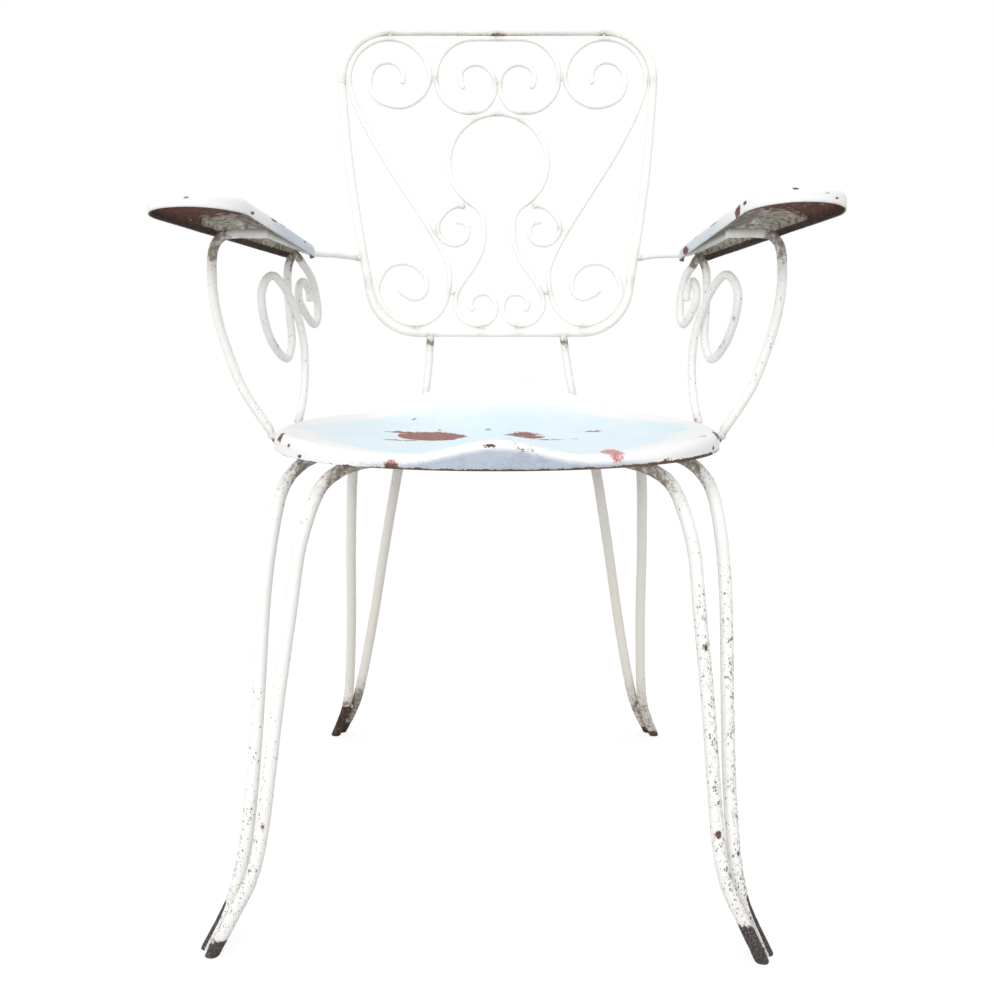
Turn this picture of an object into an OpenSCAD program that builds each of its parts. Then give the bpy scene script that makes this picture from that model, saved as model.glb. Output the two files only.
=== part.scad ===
// Wrought-steel garden armchair with a pressed bucket seat, pressed arm pads
// and a back of bent scroll rods.  Millimetres, +Z up.  The chair faces -Y.
// Left means -X, the left-hand side for someone who looks at the front.
// Depths are measured backwards from the front feet, then centred on the origin.

/* [Overall] */
// Height of the side rims of the seat above the floor
seat_height = 437; // [400:1:480]
// Width of the seat pan
seat_width = 444; // [400:1:500]
// Depth of the seat pan
seat_depth = 377; // [340:1:420]
// Distance between the two front feet
front_spread = 470; // [420:1:520]
// Distance between the two rear feet
rear_spread = 416; // [380:1:460]
// Distance from the front feet back to the rear feet
foot_depth = 460; // [420:1:500]

/* [Back] */
// Height of the bottom rail of the back above the side rims of the seat
back_lift = 92; // [70:1:130]
// Height of the back frame, along its slope, between rod centres
back_height = 360; // [320:1:400]
// Width of the back frame across the top, where its sides would meet the rail
back_top = 388; // [360:1:420]
// Width of the back frame across the bottom, where its sides would meet the rail
back_bottom = 299; // [280:1:330]
// Backward lean of the back frame in degrees
recline = 9.7; // [4:0.1:16]

/* [Arms] */
// Height of the rear end of the arm pads above the side rims of the seat
arm_lift = 174; // [150:1:200]
// Rise of the left arm pad towards the front in degrees
left_rise = 5; // [0:0.5:8]
// Rise of the right arm pad towards the front in degrees
right_rise = 6.5; // [0:0.5:8]
// How much lower the right arm pad sits at its rear
right_drop = 3; // [0:0.5:6]
// Width of an arm pad at its front
pad_front = 86; // [70:1:100]
// Width of an arm pad at its rear
pad_rear = 34; // [28:1:44]
// Depth of an arm pad's turned-down flange
pad_flange = 15; // [12:0.5:24]

/* [Rods] */
// Diameter of the leg rods
leg_rod = 12.5; // [10:0.5:14]
// Diameter of the back frame
frame_rod = 10.5; // [9:0.5:12]
// Diameter of the posts of the back and of the arm supports
post_rod = 9.5; // [8:0.5:12]
// Diameter of the arm scrolls
arm_rod = 9; // [7:0.5:10]
// Diameter of the rails under the arm pads
rail_rod = 7.5; // [6:0.5:9]
// Diameter of the scrolls in the back
scroll_rod = 6.5; // [5:0.5:8]

/* [Sheet] */
// Thickness of the pressed sheet steel
sheet = 1.5; // [1:0.1:2.5]
// Radius of the rolled rim of the seat
rim_roll = 9; // [6:0.5:12]

/* [Hidden] */

paint = [0.93, 0.93, 0.90];
seat_paint = [0.84, 0.91, 0.93];
left = -1;
right = 1;

// Clearance left at every weld, which the weld beads fill.
weld_gap = 0.3;
// Distance between rod centres where a scroll lies along the back frame.
frame_pitch = (frame_rod + scroll_rod) / 2 + weld_gap;

// Heights of the bottom rail and of the rear end of the arm pads.
rail_z = seat_height + back_lift;
arm_z = seat_height + arm_lift;
// Depths of the seat's front and middle, of the bottom rail and of the arm pad's two ends.
seat_front = 50;
seat_middle = 232;
rail_depth = seat_front + seat_depth + 2;
pad_front_depth = 109;
pad_rear_depth = 325;
// Frontmost and rearmost surfaces, which the origin lies halfway between.
front_face = -4;
rear_face = rail_depth + back_height * sin(recline) + frame_rod / 2;
middle = (front_face + rear_face) / 2;

// ---- vectors, curves and skins ----

function unit(v) = v / norm(v);
function mix(a, b, t) = a * (1 - t) + b * t;
function reversed(list) = [for (i = [len(list) - 1 : -1 : 0]) list[i]];
function clamp(x) = min(1, max(0, x));
function ease(x) = clamp(x) * clamp(x) * (3 - 2 * clamp(x));
// A bell that is 1 at x = 0 and falls to 0 at x = width.
function bell(x, width) = (1 + cos(180 * clamp(abs(x) / width))) / 2;

// A point of the model from its place across, its depth and its height.
function at(x, depth, z) = [x, depth - middle, z];

// A smooth rod line through knots: cubic pieces whose slope at a knot follows its neighbours.
function piece(a, b, c, d, t) =
    0.5 * (2 * b + (c - a) * t + (2 * a - 5 * b + 4 * c - d) * t * t
        + (3 * b - a - 3 * c + d) * t * t * t);
function smooth(knots, steps) = concat(
    [for (i = [0 : len(knots) - 2], k = [0 : steps - 1])
        piece(knots[max(i - 1, 0)], knots[i], knots[i + 1],
            knots[min(i + 2, len(knots) - 1)], k / steps)],
    [knots[len(knots) - 1]]);

// A cubic bend from a to d that leaves towards b and arrives from c, without its ends.
function bend(a, b, c, d, steps) = [for (k = [1 : steps - 1]) let (t = k / steps)
    a * pow(1 - t, 3) + b * 3 * t * pow(1 - t, 2) + c * 3 * t * t * (1 - t) + d * pow(t, 3)];

// A curl round a centre: the radius follows a table of [degrees turned, radius].
function curl(centre, start, way, table) =
    let (total = table[len(table) - 1][0], steps = ceil(total / curl_step))
    [for (k = [0 : steps]) let (turn = total * k / steps, a = start + way * turn)
        centre + lookup(turn, table) * [cos(a), sin(a)]];
curl_step = 15;

// Direction of a line at point i, for an open or a closed line.
function heading(line, i, closed) =
    let (n = len(line))
    closed ? unit(line[(i + 1) % n] - line[(i + n - 1) % n])
        : unit(line[min(i + 1, n - 1)] - line[max(i - 1, 0)]);

// Ring of points round point i of a line; side is a direction the line never points in.
function ring(line, i, radius, sides, side, closed = false) =
    let (t = heading(line, i, closed), u = unit(cross(side, t)), v = cross(t, u))
    [for (k = [0 : sides - 1]) line[i] + radius * (cos(360 * k / sides) * u + sin(360 * k / sides) * v)];

// Slides the points of an end ring along the rod until they lie on a plane.
function cut_flat(points, t, normal, level) =
    [for (p = points) p + t * (level - p * normal) / (t * normal)];

// Closed surface over a stack of rings that all have the same number of points.
module skin(rings, closed = false) {
    count = len(rings);
    n = len(rings[0]);
    bands = closed ? count : count - 1;
    walls = [for (i = [0 : bands - 1], k = [0 : n - 1])
        let (a = i * n, b = ((i + 1) % count) * n, next = (k + 1) % n)
        each [[a + k, b + k, b + next], [a + k, b + next, a + next]]];
    caps = closed ? [] : [
        [for (k = [0 : n - 1]) k],
        [for (k = [n - 1 : -1 : 0]) (count - 1) * n + k]];
    polyhedron(points = [for (r = rings) each r], faces = concat(caps, walls), convexity = 8);
}

// A round rod along a line.  first and last are optional [normal, level] planes
// that cut its two ends.
module rod(line, diameter, side, sides = 8, first = undef, last = undef) {
    end = len(line) - 1;
    rings = [for (i = [0 : end]) let (r = ring(line, i, diameter / 2, sides, side))
        i == 0 && !is_undef(first) ? cut_flat(r, heading(line, 0, false), first[0], first[1])
        : i == end && !is_undef(last) ? cut_flat(r, heading(line, end, false), last[0], last[1])
        : r];
    skin(rings);
}

floor_cut = [[0, 0, 1], 0];

// ---- seat pan ----

// Outline of the seat: an oval with fuller corners at the rear than at the front.
function seat_outline(a) =
    let (power = 2 / (sin(a) < 0 ? front_power : rear_power),
        c = pow(abs(cos(a)), power) * sign(cos(a)),
        s = pow(abs(sin(a)), power) * sign(sin(a)),
        half = sin(a) < 0 ? seat_middle - seat_front : seat_front + seat_depth - seat_middle)
    [seat_width / 2 * c, half * s];
front_power = 2.1;
rear_power = 2.4;

// Rise of the rear lip behind the sitter, from the place across.
lip_rise = 38;
function lip(p) = p.y < 0 ? 0 : lip_rise * pow(bell(p.x, 165), 0.7);
// Height of the rim's crest: a pommel in front, low at the thighs, a lip at the rear.
thigh_drop = 6;
pommel_rise = 14;
function crest(p) = seat_height + lip(p)
    - (p.y < 0 ? thigh_drop * ease((200 - abs(p.x)) / 90) : 0)
    + (p.y < 0 ? pommel_rise * bell(p.x, 85) : 0);
// Height of the lower edge of the skirt.
skirt = 17;
function skirt_edge(p) = seat_height - skirt + 0.95 * lip(p);
// Height of the pan's upper face at the fraction f of the way to the crest.
hollow = 14;
function pan_top(p, f) = mix(seat_height - hollow, crest(p), pow(f, 2.6))
    + (p.y < 0 ? 7 * bell(p.x * f, 60) * ease(f * 2) * (1 - pow(f, 4)) : 0);

// Half-width of the seat at a depth.
function seat_edge(depth) =
    let (front = depth < seat_middle, power = front ? front_power : rear_power,
        half = front ? seat_middle - seat_front : seat_front + seat_depth - seat_middle)
    seat_width / 2 * pow(1 - pow(abs(depth - seat_middle) / half, power), 1 / power);

// Height of the pan's lower face, less the weld gap, at a place under it.
function under_pan(x, depth) =
    let (y = depth - seat_middle, power = y < 0 ? front_power : rear_power,
        half = y < 0 ? seat_middle - seat_front : seat_front + seat_depth - seat_middle,
        share = pow(pow(abs(x) / (seat_width / 2), power) + pow(abs(y) / half, power), 1 / power),
        p = [x, y] / share, f = share / (1 - rim_roll / norm(p)))
    pan_top(p, f) - sheet - weld_gap;
// Depth of the seat's rear edge at a place across.
function seat_rear(x) = seat_middle + (seat_front + seat_depth - seat_middle)
    * pow(1 - pow(abs(x) / (seat_width / 2), rear_power), 1 / rear_power);

pan_points = 64;
pan_fractions = [0.04, 0.2, 0.36, 0.52, 0.66, 0.78, 0.88, 0.95];
roll_turns = [0, 30, 60, 90];
function pan_ring(f, deep) = [for (k = [0 : pan_points - 1])
    let (p = seat_outline(360 * k / pan_points), q = p * (1 - rim_roll / norm(p)) * f)
    at(q.x, seat_middle + q.y, pan_top(p, f) - deep)];
function roll_ring(turn, deep) = [for (k = [0 : pan_points - 1])
    let (p = seat_outline(360 * k / pan_points), r = rim_roll - deep,
        q = p * (1 - (rim_roll - r * sin(turn)) / norm(p)))
    at(q.x, seat_middle + q.y, crest(p) - rim_roll + r * cos(turn))];
function skirt_ring(deep) = [for (k = [0 : pan_points - 1])
    let (p = seat_outline(360 * k / pan_points), q = p * (1 - deep / norm(p)))
    at(q.x, seat_middle + q.y, skirt_edge(p))];
function pan_side(deep) = concat([for (f = pan_fractions) pan_ring(f, deep)],
    [for (turn = roll_turns) roll_ring(turn, deep)], [skirt_ring(deep)]);

module seat_pan() {
    color(seat_paint) skin(concat(pan_side(sheet), reversed(pan_side(0))));
}

// ---- legs ----

// Each leg is two rods: together at the foot, then apart, then over inwards under the
// seat.  The old legs are bent a little to one side at the feet.
function leg_line(side, knots, sway) =
    smooth([for (k = knots) let (low = 1 - clamp(k.z / sway_height))
        at(side * k.x + sway.x * low, k.y + sway.y * low, k.z)], 3);
module leg(side, knots, sway = rear_sway) {
    color(paint) rod(leg_line(side, knots, sway), leg_rod, [0, 1, 0], 10, first = floor_cut);
}
sway_height = 360;
left_sway = [-10, 4];
right_sway = [-9.5, -4];
rear_sway = [-3, 0];

toe = front_spread / 2;
under_seat = seat_height - 20.75 - leg_rod / 2;
// Height of a leg rod's centre where it lies against the pan.
function leg_top(x, depth) = under_pan(x, depth) - leg_rod / 2;
// The outer rod of a leg stands beside its inner rod, this far across and behind or before it.
front_beside = leg_rod * [0.52, 0.856, 0];
rear_beside = leg_rod * [0.48, -0.88, 0];
function beside(knots, step) = [for (k = knots) k + step];
front_outer_top = leg_top(toe - 100, 162);
front_outer = beside([[toe + 3, 6.5, 0], [toe - 15.5, 13.3, 37], [toe - 23.5, 19.3, 65],
    [toe - 28, 28.3, 100], [toe - 30, 46.3, 150], [toe - 30, 69.3, 210], [toe - 29.5, 99.3, under_seat - 120],
    [toe - 32.5, 121.3, under_seat - 65], [toe - 40.5, 137.3, under_seat - 22],
    [toe - 57.5, 145.3, under_seat], [toe - 81.5, 149.3, front_outer_top - 1.3],
    [toe - 106.5, 151.3, front_outer_top]], front_beside);
front_inner_top = leg_top(toe - 140, 114);
front_inner = [[toe + 3, 6.5, 0], [toe - 15.5, 11, 37], [toe - 29, 17, 65], [toe - 36.5, 26, 100],
    [toe - 41, 40, 150], [toe - 46, 55, 210], [toe - 54, 77, under_seat - 120],
    [toe - 60, 92, under_seat - 65], [toe - 75, 103, under_seat - 18], [toe - 93, 109, under_seat],
    [toe - 117, 112, front_inner_top - 1.2], [toe - 140, 114, front_inner_top]];

heel = foot_depth;
heel_x = rear_spread / 2;
rear_outer_top = leg_top(heel_x - 84, heel - 120);
rear_outer = beside([[heel_x - 2, heel + 10, 0], [heel_x - 19, heel - 3, 45], [heel_x - 26, heel - 13, 91],
    [heel_x - 33, heel - 36, 177], [heel_x - 38, heel - 60, under_seat - 141],
    [heel_x - 45, heel - 85, under_seat - 50], [heel_x - 52, heel - 97, under_seat - 15],
    [heel_x - 68, heel - 105, rear_outer_top - 4], [heel_x - 90, heel - 109, rear_outer_top]], rear_beside);
rear_inner_top = leg_top(heel_x - 114, heel - 116);
rear_inner = [[heel_x - 2, heel + 10, 0], [heel_x - 23, heel - 5, 45], [heel_x - 36, heel - 18, 91],
    [heel_x - 53, heel - 34, 172], [heel_x - 70, heel - 53, under_seat - 145],
    [heel_x - 88, heel - 71, under_seat - 52], [heel_x - 97, heel - 83, under_seat - 17],
    [heel_x - 106, heel - 96, rear_inner_top - 4.6], [heel_x - 114, heel - 116, rear_inner_top]];

// ---- arm pads ----

// Loop round two circles, the pad's round front and its narrower round rear,
// shrunk by an inset and then by a factor; the loop's height is above the flange's edge.
pad_front_x = seat_width / 2 + 30;
pad_rear_x = seat_width / 2 - 8;
front_steps = 18;
rear_steps = 10;
pad_lean = atan2(pad_front_x - pad_rear_x, pad_rear_depth - pad_front_depth);
function pad_z(depth, side) = arm_z - (side == right ? right_drop : 0)
    + (pad_rear_depth - depth) * tan(side == left ? left_rise : right_rise);
function pad_loop(inset, factor, height, side) =
    let (f = (pad_front / 2 - inset) * factor, r = (pad_rear / 2 - inset) * factor,
        spread = asin((f - r) / norm([pad_front_x - pad_rear_x, pad_rear_depth - pad_front_depth])))
    concat(
        [for (k = [0 : front_steps]) let (a = pad_lean + 180 - spread + (180 + 2 * spread) * k / front_steps)
            pad_point(pad_front_x + f * cos(a), pad_front_depth + f * sin(a), height, side)],
        [for (k = [0 : rear_steps]) let (a = pad_lean + spread + (180 - 2 * spread) * k / rear_steps)
            pad_point(pad_rear_x + r * cos(a), pad_rear_depth + r * sin(a), height, side)]);
function pad_point(x, depth, height, side) = at(x, depth, pad_z(depth, side) + height);
// Rings of the pad's outer face, from its middle out over the shoulder to the edge,
// and of its inner face, one sheet thickness inside it.
pad_shoulder = 8;
pad_crown = 2.5;
function pad_face(deep, side) = concat(
    [for (f = [0.04, 0.35, 0.7])
        pad_loop(pad_shoulder, f, pad_flange - deep + pad_crown * (1 - f * f), side)],
    [for (turn = [0, 30, 60, 90]) let (r = pad_shoulder - deep)
        pad_loop(pad_shoulder - r * sin(turn), 1, pad_flange - pad_shoulder + r * cos(turn), side)],
    [pad_loop(deep, 1, 0, side)]);

module arm_pad(side) {
    color(paint) mirror([side == left ? 1 : 0, 0, 0]) difference() {
        skin(concat(pad_face(sheet, side), reversed(pad_face(0, side))));
        rail_slot(side);
    }
}
// Slot in the flange's rear, where the rail runs out.
slot_width = rail_rod + 4;
slot_depth = 340;
module rail_slot(side) {
    edge = pad_z(pad_rear_depth, side);
    translate(at(rail_out_x - slot_width / 2, slot_depth - 6, edge - 2))
        cube([slot_width, 12, rail_in_pad + rail_rod / 2 + 3 * weld_gap + 2]);
}

// ---- rods of the arms ----

// Height of the centre of the rail under the pad, and of the hooked end of the support.
rail_in_pad = pad_flange - sheet - rail_rod / 2 - weld_gap;
hook_in_pad = rail_in_pad - (rail_rod + post_rod) / 2 - weld_gap;
function pad_axis_x(depth) =
    pad_rear_x + (pad_front_x - pad_rear_x) * (pad_rear_depth - depth) / (pad_rear_depth - pad_front_depth);

// Support: from the seat's side out and up, then hooked inwards under the pad.
support_depth = 200;
hook_depth = 190;
seat_side = seat_edge(support_depth + post_rod / 2);
function support_line(side) =
    let (hook = pad_z(hook_depth, side) + hook_in_pad,
        knots = [[seat_side, support_depth, seat_height - 4], [seat_side + 17, support_depth, seat_height + 22],
            [seat_side + 29, 199, seat_height + 44], [seat_side + 38, 197, seat_height + 71],
            [seat_side + 45, 195, seat_height + 97], [seat_side + 49, 193, seat_height + 122],
            [seat_side + 50, 192, seat_height + 146], [seat_side + 47, 191, hook - 15],
            [seat_side + 38, hook_depth, hook - 3], [seat_side + 24, hook_depth, hook],
            [seat_side + 6, hook_depth, hook], [seat_side - 6, hook_depth, hook]])
    smooth([for (k = knots) at(side * k.x, k.y, k.z)], 4);
module arm_support(side) {
    color(paint) rod(support_line(side), post_rod, [0, 1, 0], 8, first = [[side, 0, 0], seat_side]);
}

// Scroll: up from the seat's rim, over forwards in a loop, up to the rail under the pad
// and over backwards in a smaller curl.  Its knots are [depth, height above the seat's
// side rim, shift sideways, share of the shift to the rear], in an upright plane that
// swings out towards the front.
scroll_swing = 0.32;
scroll_x = seat_edge(291) + 4.3;
scroll_pass = arm_rod / 2 + weld_gap;
// The two scrolls are not bent quite alike: the left one sits further back.
scroll_shift = 10;
arch_depth = 318;
function scroll_line(side) =
    let (arch = pad_z(arch_depth, side) - seat_height + rail_in_pad - (rail_rod + arm_rod) / 2 - weld_gap,
        knots = [[291, -1, -1, 0.8], [300, 15, -1, 0.8], [308, 42, -1, 0.8], [309, 76, -1, 0.9],
            [301, 104, -1, 1], [286, 127, -1, 1], [271, 142, -1, 1], [253, 151, -1, 1], [240, 145, -0.7, 1],
            [235, 129, -0.3, 1.1], [246, 105, 0.4, 1], [265, 81, 0.9, 0.9], [290, 66, 1, 1],
            [303, 84, 1, 0.6], [302, 110, 1, 0.3], [301, 140, 1, 0.1], [304, arch - 13, 1, 0],
            [arch_depth, arch, 1, 0], [333, arch - 9, 1, 0.4], [349, 152, 1, 0.8], [358, 129, 1, 1],
            [358, 111, 1, 1.2], [350, 102, 1, 1.1], [334, 113, 1, 0.8], [322, 129, 1, 0.4], [324, 144, 1, 0.3],
            [334, 148, 1, 0.4], [343, 138, 1, 0.6], [343, 127, 1, 0.6]])
    smooth([for (k = knots)
        at(side * (scroll_x + scroll_swing * (290 - k[0]) + scroll_pass * k[2]),
            k[0] - side * scroll_shift * k[3], seat_height + k[1])], 3);
module arm_scroll(side) {
    color(paint) rod(scroll_line(side), arm_rod, [side, scroll_swing, 0], 8,
        first = [[0, 0, 1], scroll_foot(side)]);
}
// Height of the scroll's foot, on the rounded rim of the seat.
function scroll_foot(side) =
    let (edge = seat_edge(291 - side * scroll_shift * 0.8),
        out = scroll_x - scroll_pass - arm_rod / 2 - edge + rim_roll)
    seat_height - rim_roll + sqrt(rim_roll * rim_roll - out * out) + weld_gap;

// Rail: under the pad along its axis, then out of its rear and in to the back frame.
rail_start = 178;
rail_out_x = pad_rear_x - 3;
rail_meets = 90;
function rail_line(side) =
    let (meet = on_back([side * (frame_side_x(rail_meets) + (frame_rod + rail_rod) / 2 + weld_gap), rail_meets]))
    smooth(concat(
        [for (d = [rail_start, 230, 280, 325]) at(side * pad_axis_x(d), d, pad_z(d, side) + rail_in_pad)],
        [at(side * (rail_out_x - 5), 362, mix(pad_z(362, side) + rail_in_pad, meet.z, 0.6)),
            mix(at(side * (rail_out_x - 5), 362, meet.z + 1), meet, 0.55),
            meet + [side * 2, -6, 0], meet + [-side * 2, 12, 0]]), 3);
module arm_rail(side) {
    color(paint) rod(rail_line(side), rail_rod, [0, 0, 1], 8);
}

// ---- back ----

// Place on the leaning back: across and up from the middle of the bottom rail.
// The old frame leans a little to one side: its foot is further right than its top.
back_slip = 3.2;
function on_back(p) = at(p.x + back_slip * (1 - p.y / back_height),
    rail_depth + p.y * sin(recline), rail_z + p.y * cos(recline));
function lay_on_back(line, side = 1) = [for (p = line) on_back([side * p.x, p.y])];
back_normal = [0, -cos(recline), sin(recline)];
// Across position of the frame's side line at a height.
function side_line_x(h) = mix(back_bottom, back_top, h / back_height) / 2;
side_bow = 4;
function frame_side_x(h) = side_line_x(h)
    + side_bow * sin(180 * clamp((h - bottom_radius) / (back_height - top_radius - bottom_radius)));
frame_tilt = atan2((back_top - back_bottom) / 2, back_height);

// Centre of a corner's arc, and the arc itself.
top_radius = 57;
bottom_radius = 58;
function corner_x(h, radius) = side_line_x(h) - radius / cos(frame_tilt);
top_corner = [corner_x(back_height - top_radius, top_radius), back_height - top_radius];
bottom_corner = [corner_x(bottom_radius, bottom_radius), bottom_radius];
function arc(centre, radius, from, to, steps) =
    [for (k = [0 : steps]) let (a = mix(from, to, k / steps)) centre + radius * [cos(a), sin(a)]];
half_frame = concat(arc(bottom_corner, bottom_radius, -90, -frame_tilt, 8),
    [for (k = [1 : 5]) let (h = mix(bottom_radius, back_height - top_radius, k / 6)) [frame_side_x(h), h]],
    arc(top_corner, top_radius, -frame_tilt, 90, 9));
frame_line = concat(half_frame, [for (p = reversed(half_frame)) [-p.x, p.y]]);

module back_frame() {
    line = lay_on_back(frame_line);
    color(paint) skin([for (i = [0 : len(line) - 1])
        ring(line, i, frame_rod / 2, 10, back_normal, true)], closed = true);
}

// Post: from the bottom rail down behind the seat's lip, then forwards under the seat.  Its
// knots are [across, behind the seat's rear edge, above the seat's side rims].
function post_line(side) =
    let (top = at(side * post_x, rail_depth, rail_z - (frame_rod / 2 + weld_gap) / cos(recline)),
        flare = side == right ? right_flare : 0,
        edge = seat_rear(post_x + 8.5),
        knots = [[post_x + 2, 9.7, 57], [post_x + 5, 7.7, 30], [post_x + 8, 5.5, 8],
            [post_x + 8.5, 4.8, 1.5], [post_x + 9, 2.2, -2.5], [post_x + 9.5, -3.8, -4.5],
            [post_x + 11, -17.8, -4.5], [post_x + 13, -36.8, -3.2]])
    smooth(concat([top], [for (k = knots)
        at(side * k.x + flare * clamp((back_lift - k.z) / 86), edge + k.y, seat_height + k.z)]), 4);
post_x = 80;
// The right post is bent outwards at its foot.
right_flare = 6;
module back_post(side) {
    line = post_line(side);
    color(paint) rod(line, post_rod, [1, 0, 0], 8, first = [[0, 0, 1], line[0].z]);
}

// Centres of the keyhole's loop and of a neck curl, which hang at fixed distances from the top.
key_centre = [0, back_height - 157];
neck_centre = [52.7, key_centre.y - 78];

// Corner scroll: a curl in the frame's top corner, the rod round the corner, a diagonal
// towards the middle and a curl in the bottom corner.
top_hug = top_radius - frame_pitch;
low_hug = bottom_radius - frame_pitch - weld_gap;
corner_top = curl(top_corner, -15, 1,
    [[0, top_hug], [115, top_hug], [195, 49], [285, 31], [375, 23], [475, 20.5], [575, 16]]);
low_knots = [[65.8, neck_centre.y - 33], [59.8, neck_centre.y - 51], [60.3, 53], [67, 31], [80.5, 16]];
low_curl_knots = [[140, 70], [131, 79.5], [117, 83.5], [101, 80], [90, 69], [87, 57], [91, 45], [101, 40.5],
    [111, 44], [121, 51]];
corner_low = smooth(concat(low_knots, arc(bottom_corner, low_hug, -90, -8, 4), low_curl_knots), 3);
diagonal = bend(corner_top[0], corner_top[0] - 68 * [sin(15), cos(15)],
    corner_low[0] + [24.5, 53], corner_low[0], 16);
corner_line = concat(reversed(corner_top), diagonal, corner_low);
module corner_scroll(side) {
    color(paint) rod(lay_on_back(corner_line, side), scroll_rod, back_normal, 8);
}

// Top scroll: flat under the top rail, with a curl down at each end.
double_centre = [31.5, back_height - 58];
double_curl = curl(double_centre, 90, -1,
    [[0, 58 - frame_pitch], [90, top_corner.x - double_centre.x - 56], [180, 38.5], [205, 38], [262, 28.5],
        [270, 28], [360, 18], [450, 12.5], [500, 13]]);
top_line = concat([for (p = reversed(double_curl)) [-p.x, p.y]], double_curl);
module top_scroll() {
    color(paint) rod(lay_on_back(top_line), scroll_rod, back_normal, 8);
}

// Keyhole scroll: a round loop, a neck, and a curl to each side at the bottom.
key_radius = 59;
key_curl_centre = [22, 34];
waist = [17.5, key_centre.y - 85];
key_loop = arc(key_centre, key_radius, 90, -60, 12);
key_curl = curl(key_curl_centre, 0, -1,
    [[0, 31], [90, key_curl_centre.y - frame_pitch], [180, 17.5], [270, 12.5], [400, 12]]);
shoulder = key_loop[len(key_loop) - 1];
half_key = concat(key_loop,
    bend(shoulder, shoulder - 14 * [cos(30), sin(30)], waist + [0, 14], waist, 5), [waist],
    bend(waist, waist - [0, 40], key_curl[0] + [0, 30], key_curl[0], 8), key_curl);
key_line = concat([for (p = reversed(half_key)) [-p.x, p.y]], [for (i = [1 : len(half_key) - 1]) half_key[i]]);
module keyhole_scroll() {
    color(paint) rod(lay_on_back(key_line), scroll_rod, back_normal, 8);
}

// Neck curl: a small curl that springs from the bottom of the keyhole's loop.
neck_line = curl(neck_centre, 114, -1, [[0, 29], [64, 21], [240, 19.5], [300, 15], [370, 7]]);
module neck_curl(side) {
    color(paint) rod(lay_on_back(neck_line, side), scroll_rod, back_normal, 8);
}

seat_pan();
leg(left, front_outer, left_sway);  // front_leg_left_outer
leg(left, front_inner, left_sway);  // front_leg_left_inner
leg(right, front_outer, right_sway);  // front_leg_right_outer
leg(right, front_inner, right_sway);  // front_leg_right_inner
leg(left, rear_outer);  // rear_leg_left_outer
leg(left, rear_inner);  // rear_leg_left_inner
leg(right, rear_outer);  // rear_leg_right_outer
leg(right, rear_inner);  // rear_leg_right_inner
arm_pad(left);  // arm_pad_left
arm_pad(right);  // arm_pad_right
arm_support(left);  // arm_support_left
arm_support(right);  // arm_support_right
arm_scroll(left);  // arm_scroll_left
arm_scroll(right);  // arm_scroll_right
arm_rail(left);  // arm_rail_left
arm_rail(right);  // arm_rail_right
back_frame();
back_post(left);  // back_post_left
back_post(right);  // back_post_right
corner_scroll(left);  // corner_scroll_left
corner_scroll(right);  // corner_scroll_right
top_scroll();
keyhole_scroll();
neck_curl(left);  // neck_curl_left
neck_curl(right);  // neck_curl_right
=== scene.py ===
import math

import bpy
import numpy as np
from bpy.props import FloatProperty, FloatVectorProperty, PointerProperty
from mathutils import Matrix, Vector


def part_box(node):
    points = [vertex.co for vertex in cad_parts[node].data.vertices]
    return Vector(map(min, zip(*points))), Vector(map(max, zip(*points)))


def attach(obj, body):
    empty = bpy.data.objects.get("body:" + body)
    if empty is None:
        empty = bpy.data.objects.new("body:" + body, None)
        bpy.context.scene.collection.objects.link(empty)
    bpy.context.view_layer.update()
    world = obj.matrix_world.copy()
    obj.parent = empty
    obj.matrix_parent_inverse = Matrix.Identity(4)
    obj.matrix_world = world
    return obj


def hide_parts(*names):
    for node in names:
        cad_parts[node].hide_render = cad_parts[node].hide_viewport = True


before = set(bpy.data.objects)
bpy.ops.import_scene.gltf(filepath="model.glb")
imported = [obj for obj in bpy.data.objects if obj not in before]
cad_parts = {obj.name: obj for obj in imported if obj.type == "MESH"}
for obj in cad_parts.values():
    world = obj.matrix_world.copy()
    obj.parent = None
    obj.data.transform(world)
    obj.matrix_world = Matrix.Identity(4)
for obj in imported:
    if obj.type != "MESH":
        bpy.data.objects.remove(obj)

bl_info = {
    "name": "Peeling garden armchair",
    "version": (1, 0, 0),
    "blender": (4, 5, 0),
    "location": "3D View > Sidebar > Garden chair",
    # The dirt includes painted shade under rods, under the pads and along the seat's rim.
    "description": "Builds an old painted steel garden armchair, with its chips, rust and dirt",
    "category": "Object",
}

# Lengths are millimetres until a mesh is made.  A point is (across, depth, height), and
# depths are measured backwards from the front feet, as they are in the part's source.
MM = 0.001
LEFT, RIGHT = -1, 1
SIDES = {"left": LEFT, "right": RIGHT}

SEAT_HEIGHT, SEAT_WIDTH, SEAT_DEPTH = 437.0, 444.0, 377.0
FRONT_SPREAD, REAR_SPREAD, FOOT_DEPTH = 470.0, 416.0, 460.0
BACK_LIFT, BACK_HEIGHT, BACK_TOP, BACK_BOTTOM = 92.0, 360.0, 388.0, 299.0
RECLINE = math.radians(9.7)
ARM_LIFT, RIGHT_DROP = 174.0, 3.0
RISE = {LEFT: math.radians(5.0), RIGHT: math.radians(6.5)}
PAD_FRONT, PAD_REAR, PAD_FLANGE = 86.0, 34.0, 15.0
LEG_ROD, FRAME_ROD, POST_ROD, ARM_ROD = 12.5, 10.5, 9.5, 9.0
RAIL_ROD, SCROLL_ROD = 7.5, 6.5
SHEET, RIM_ROLL, WELD_GAP = 1.5, 9.0, 0.3
FRAME_PITCH = (FRAME_ROD + SCROLL_ROD) / 2 + WELD_GAP

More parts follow.
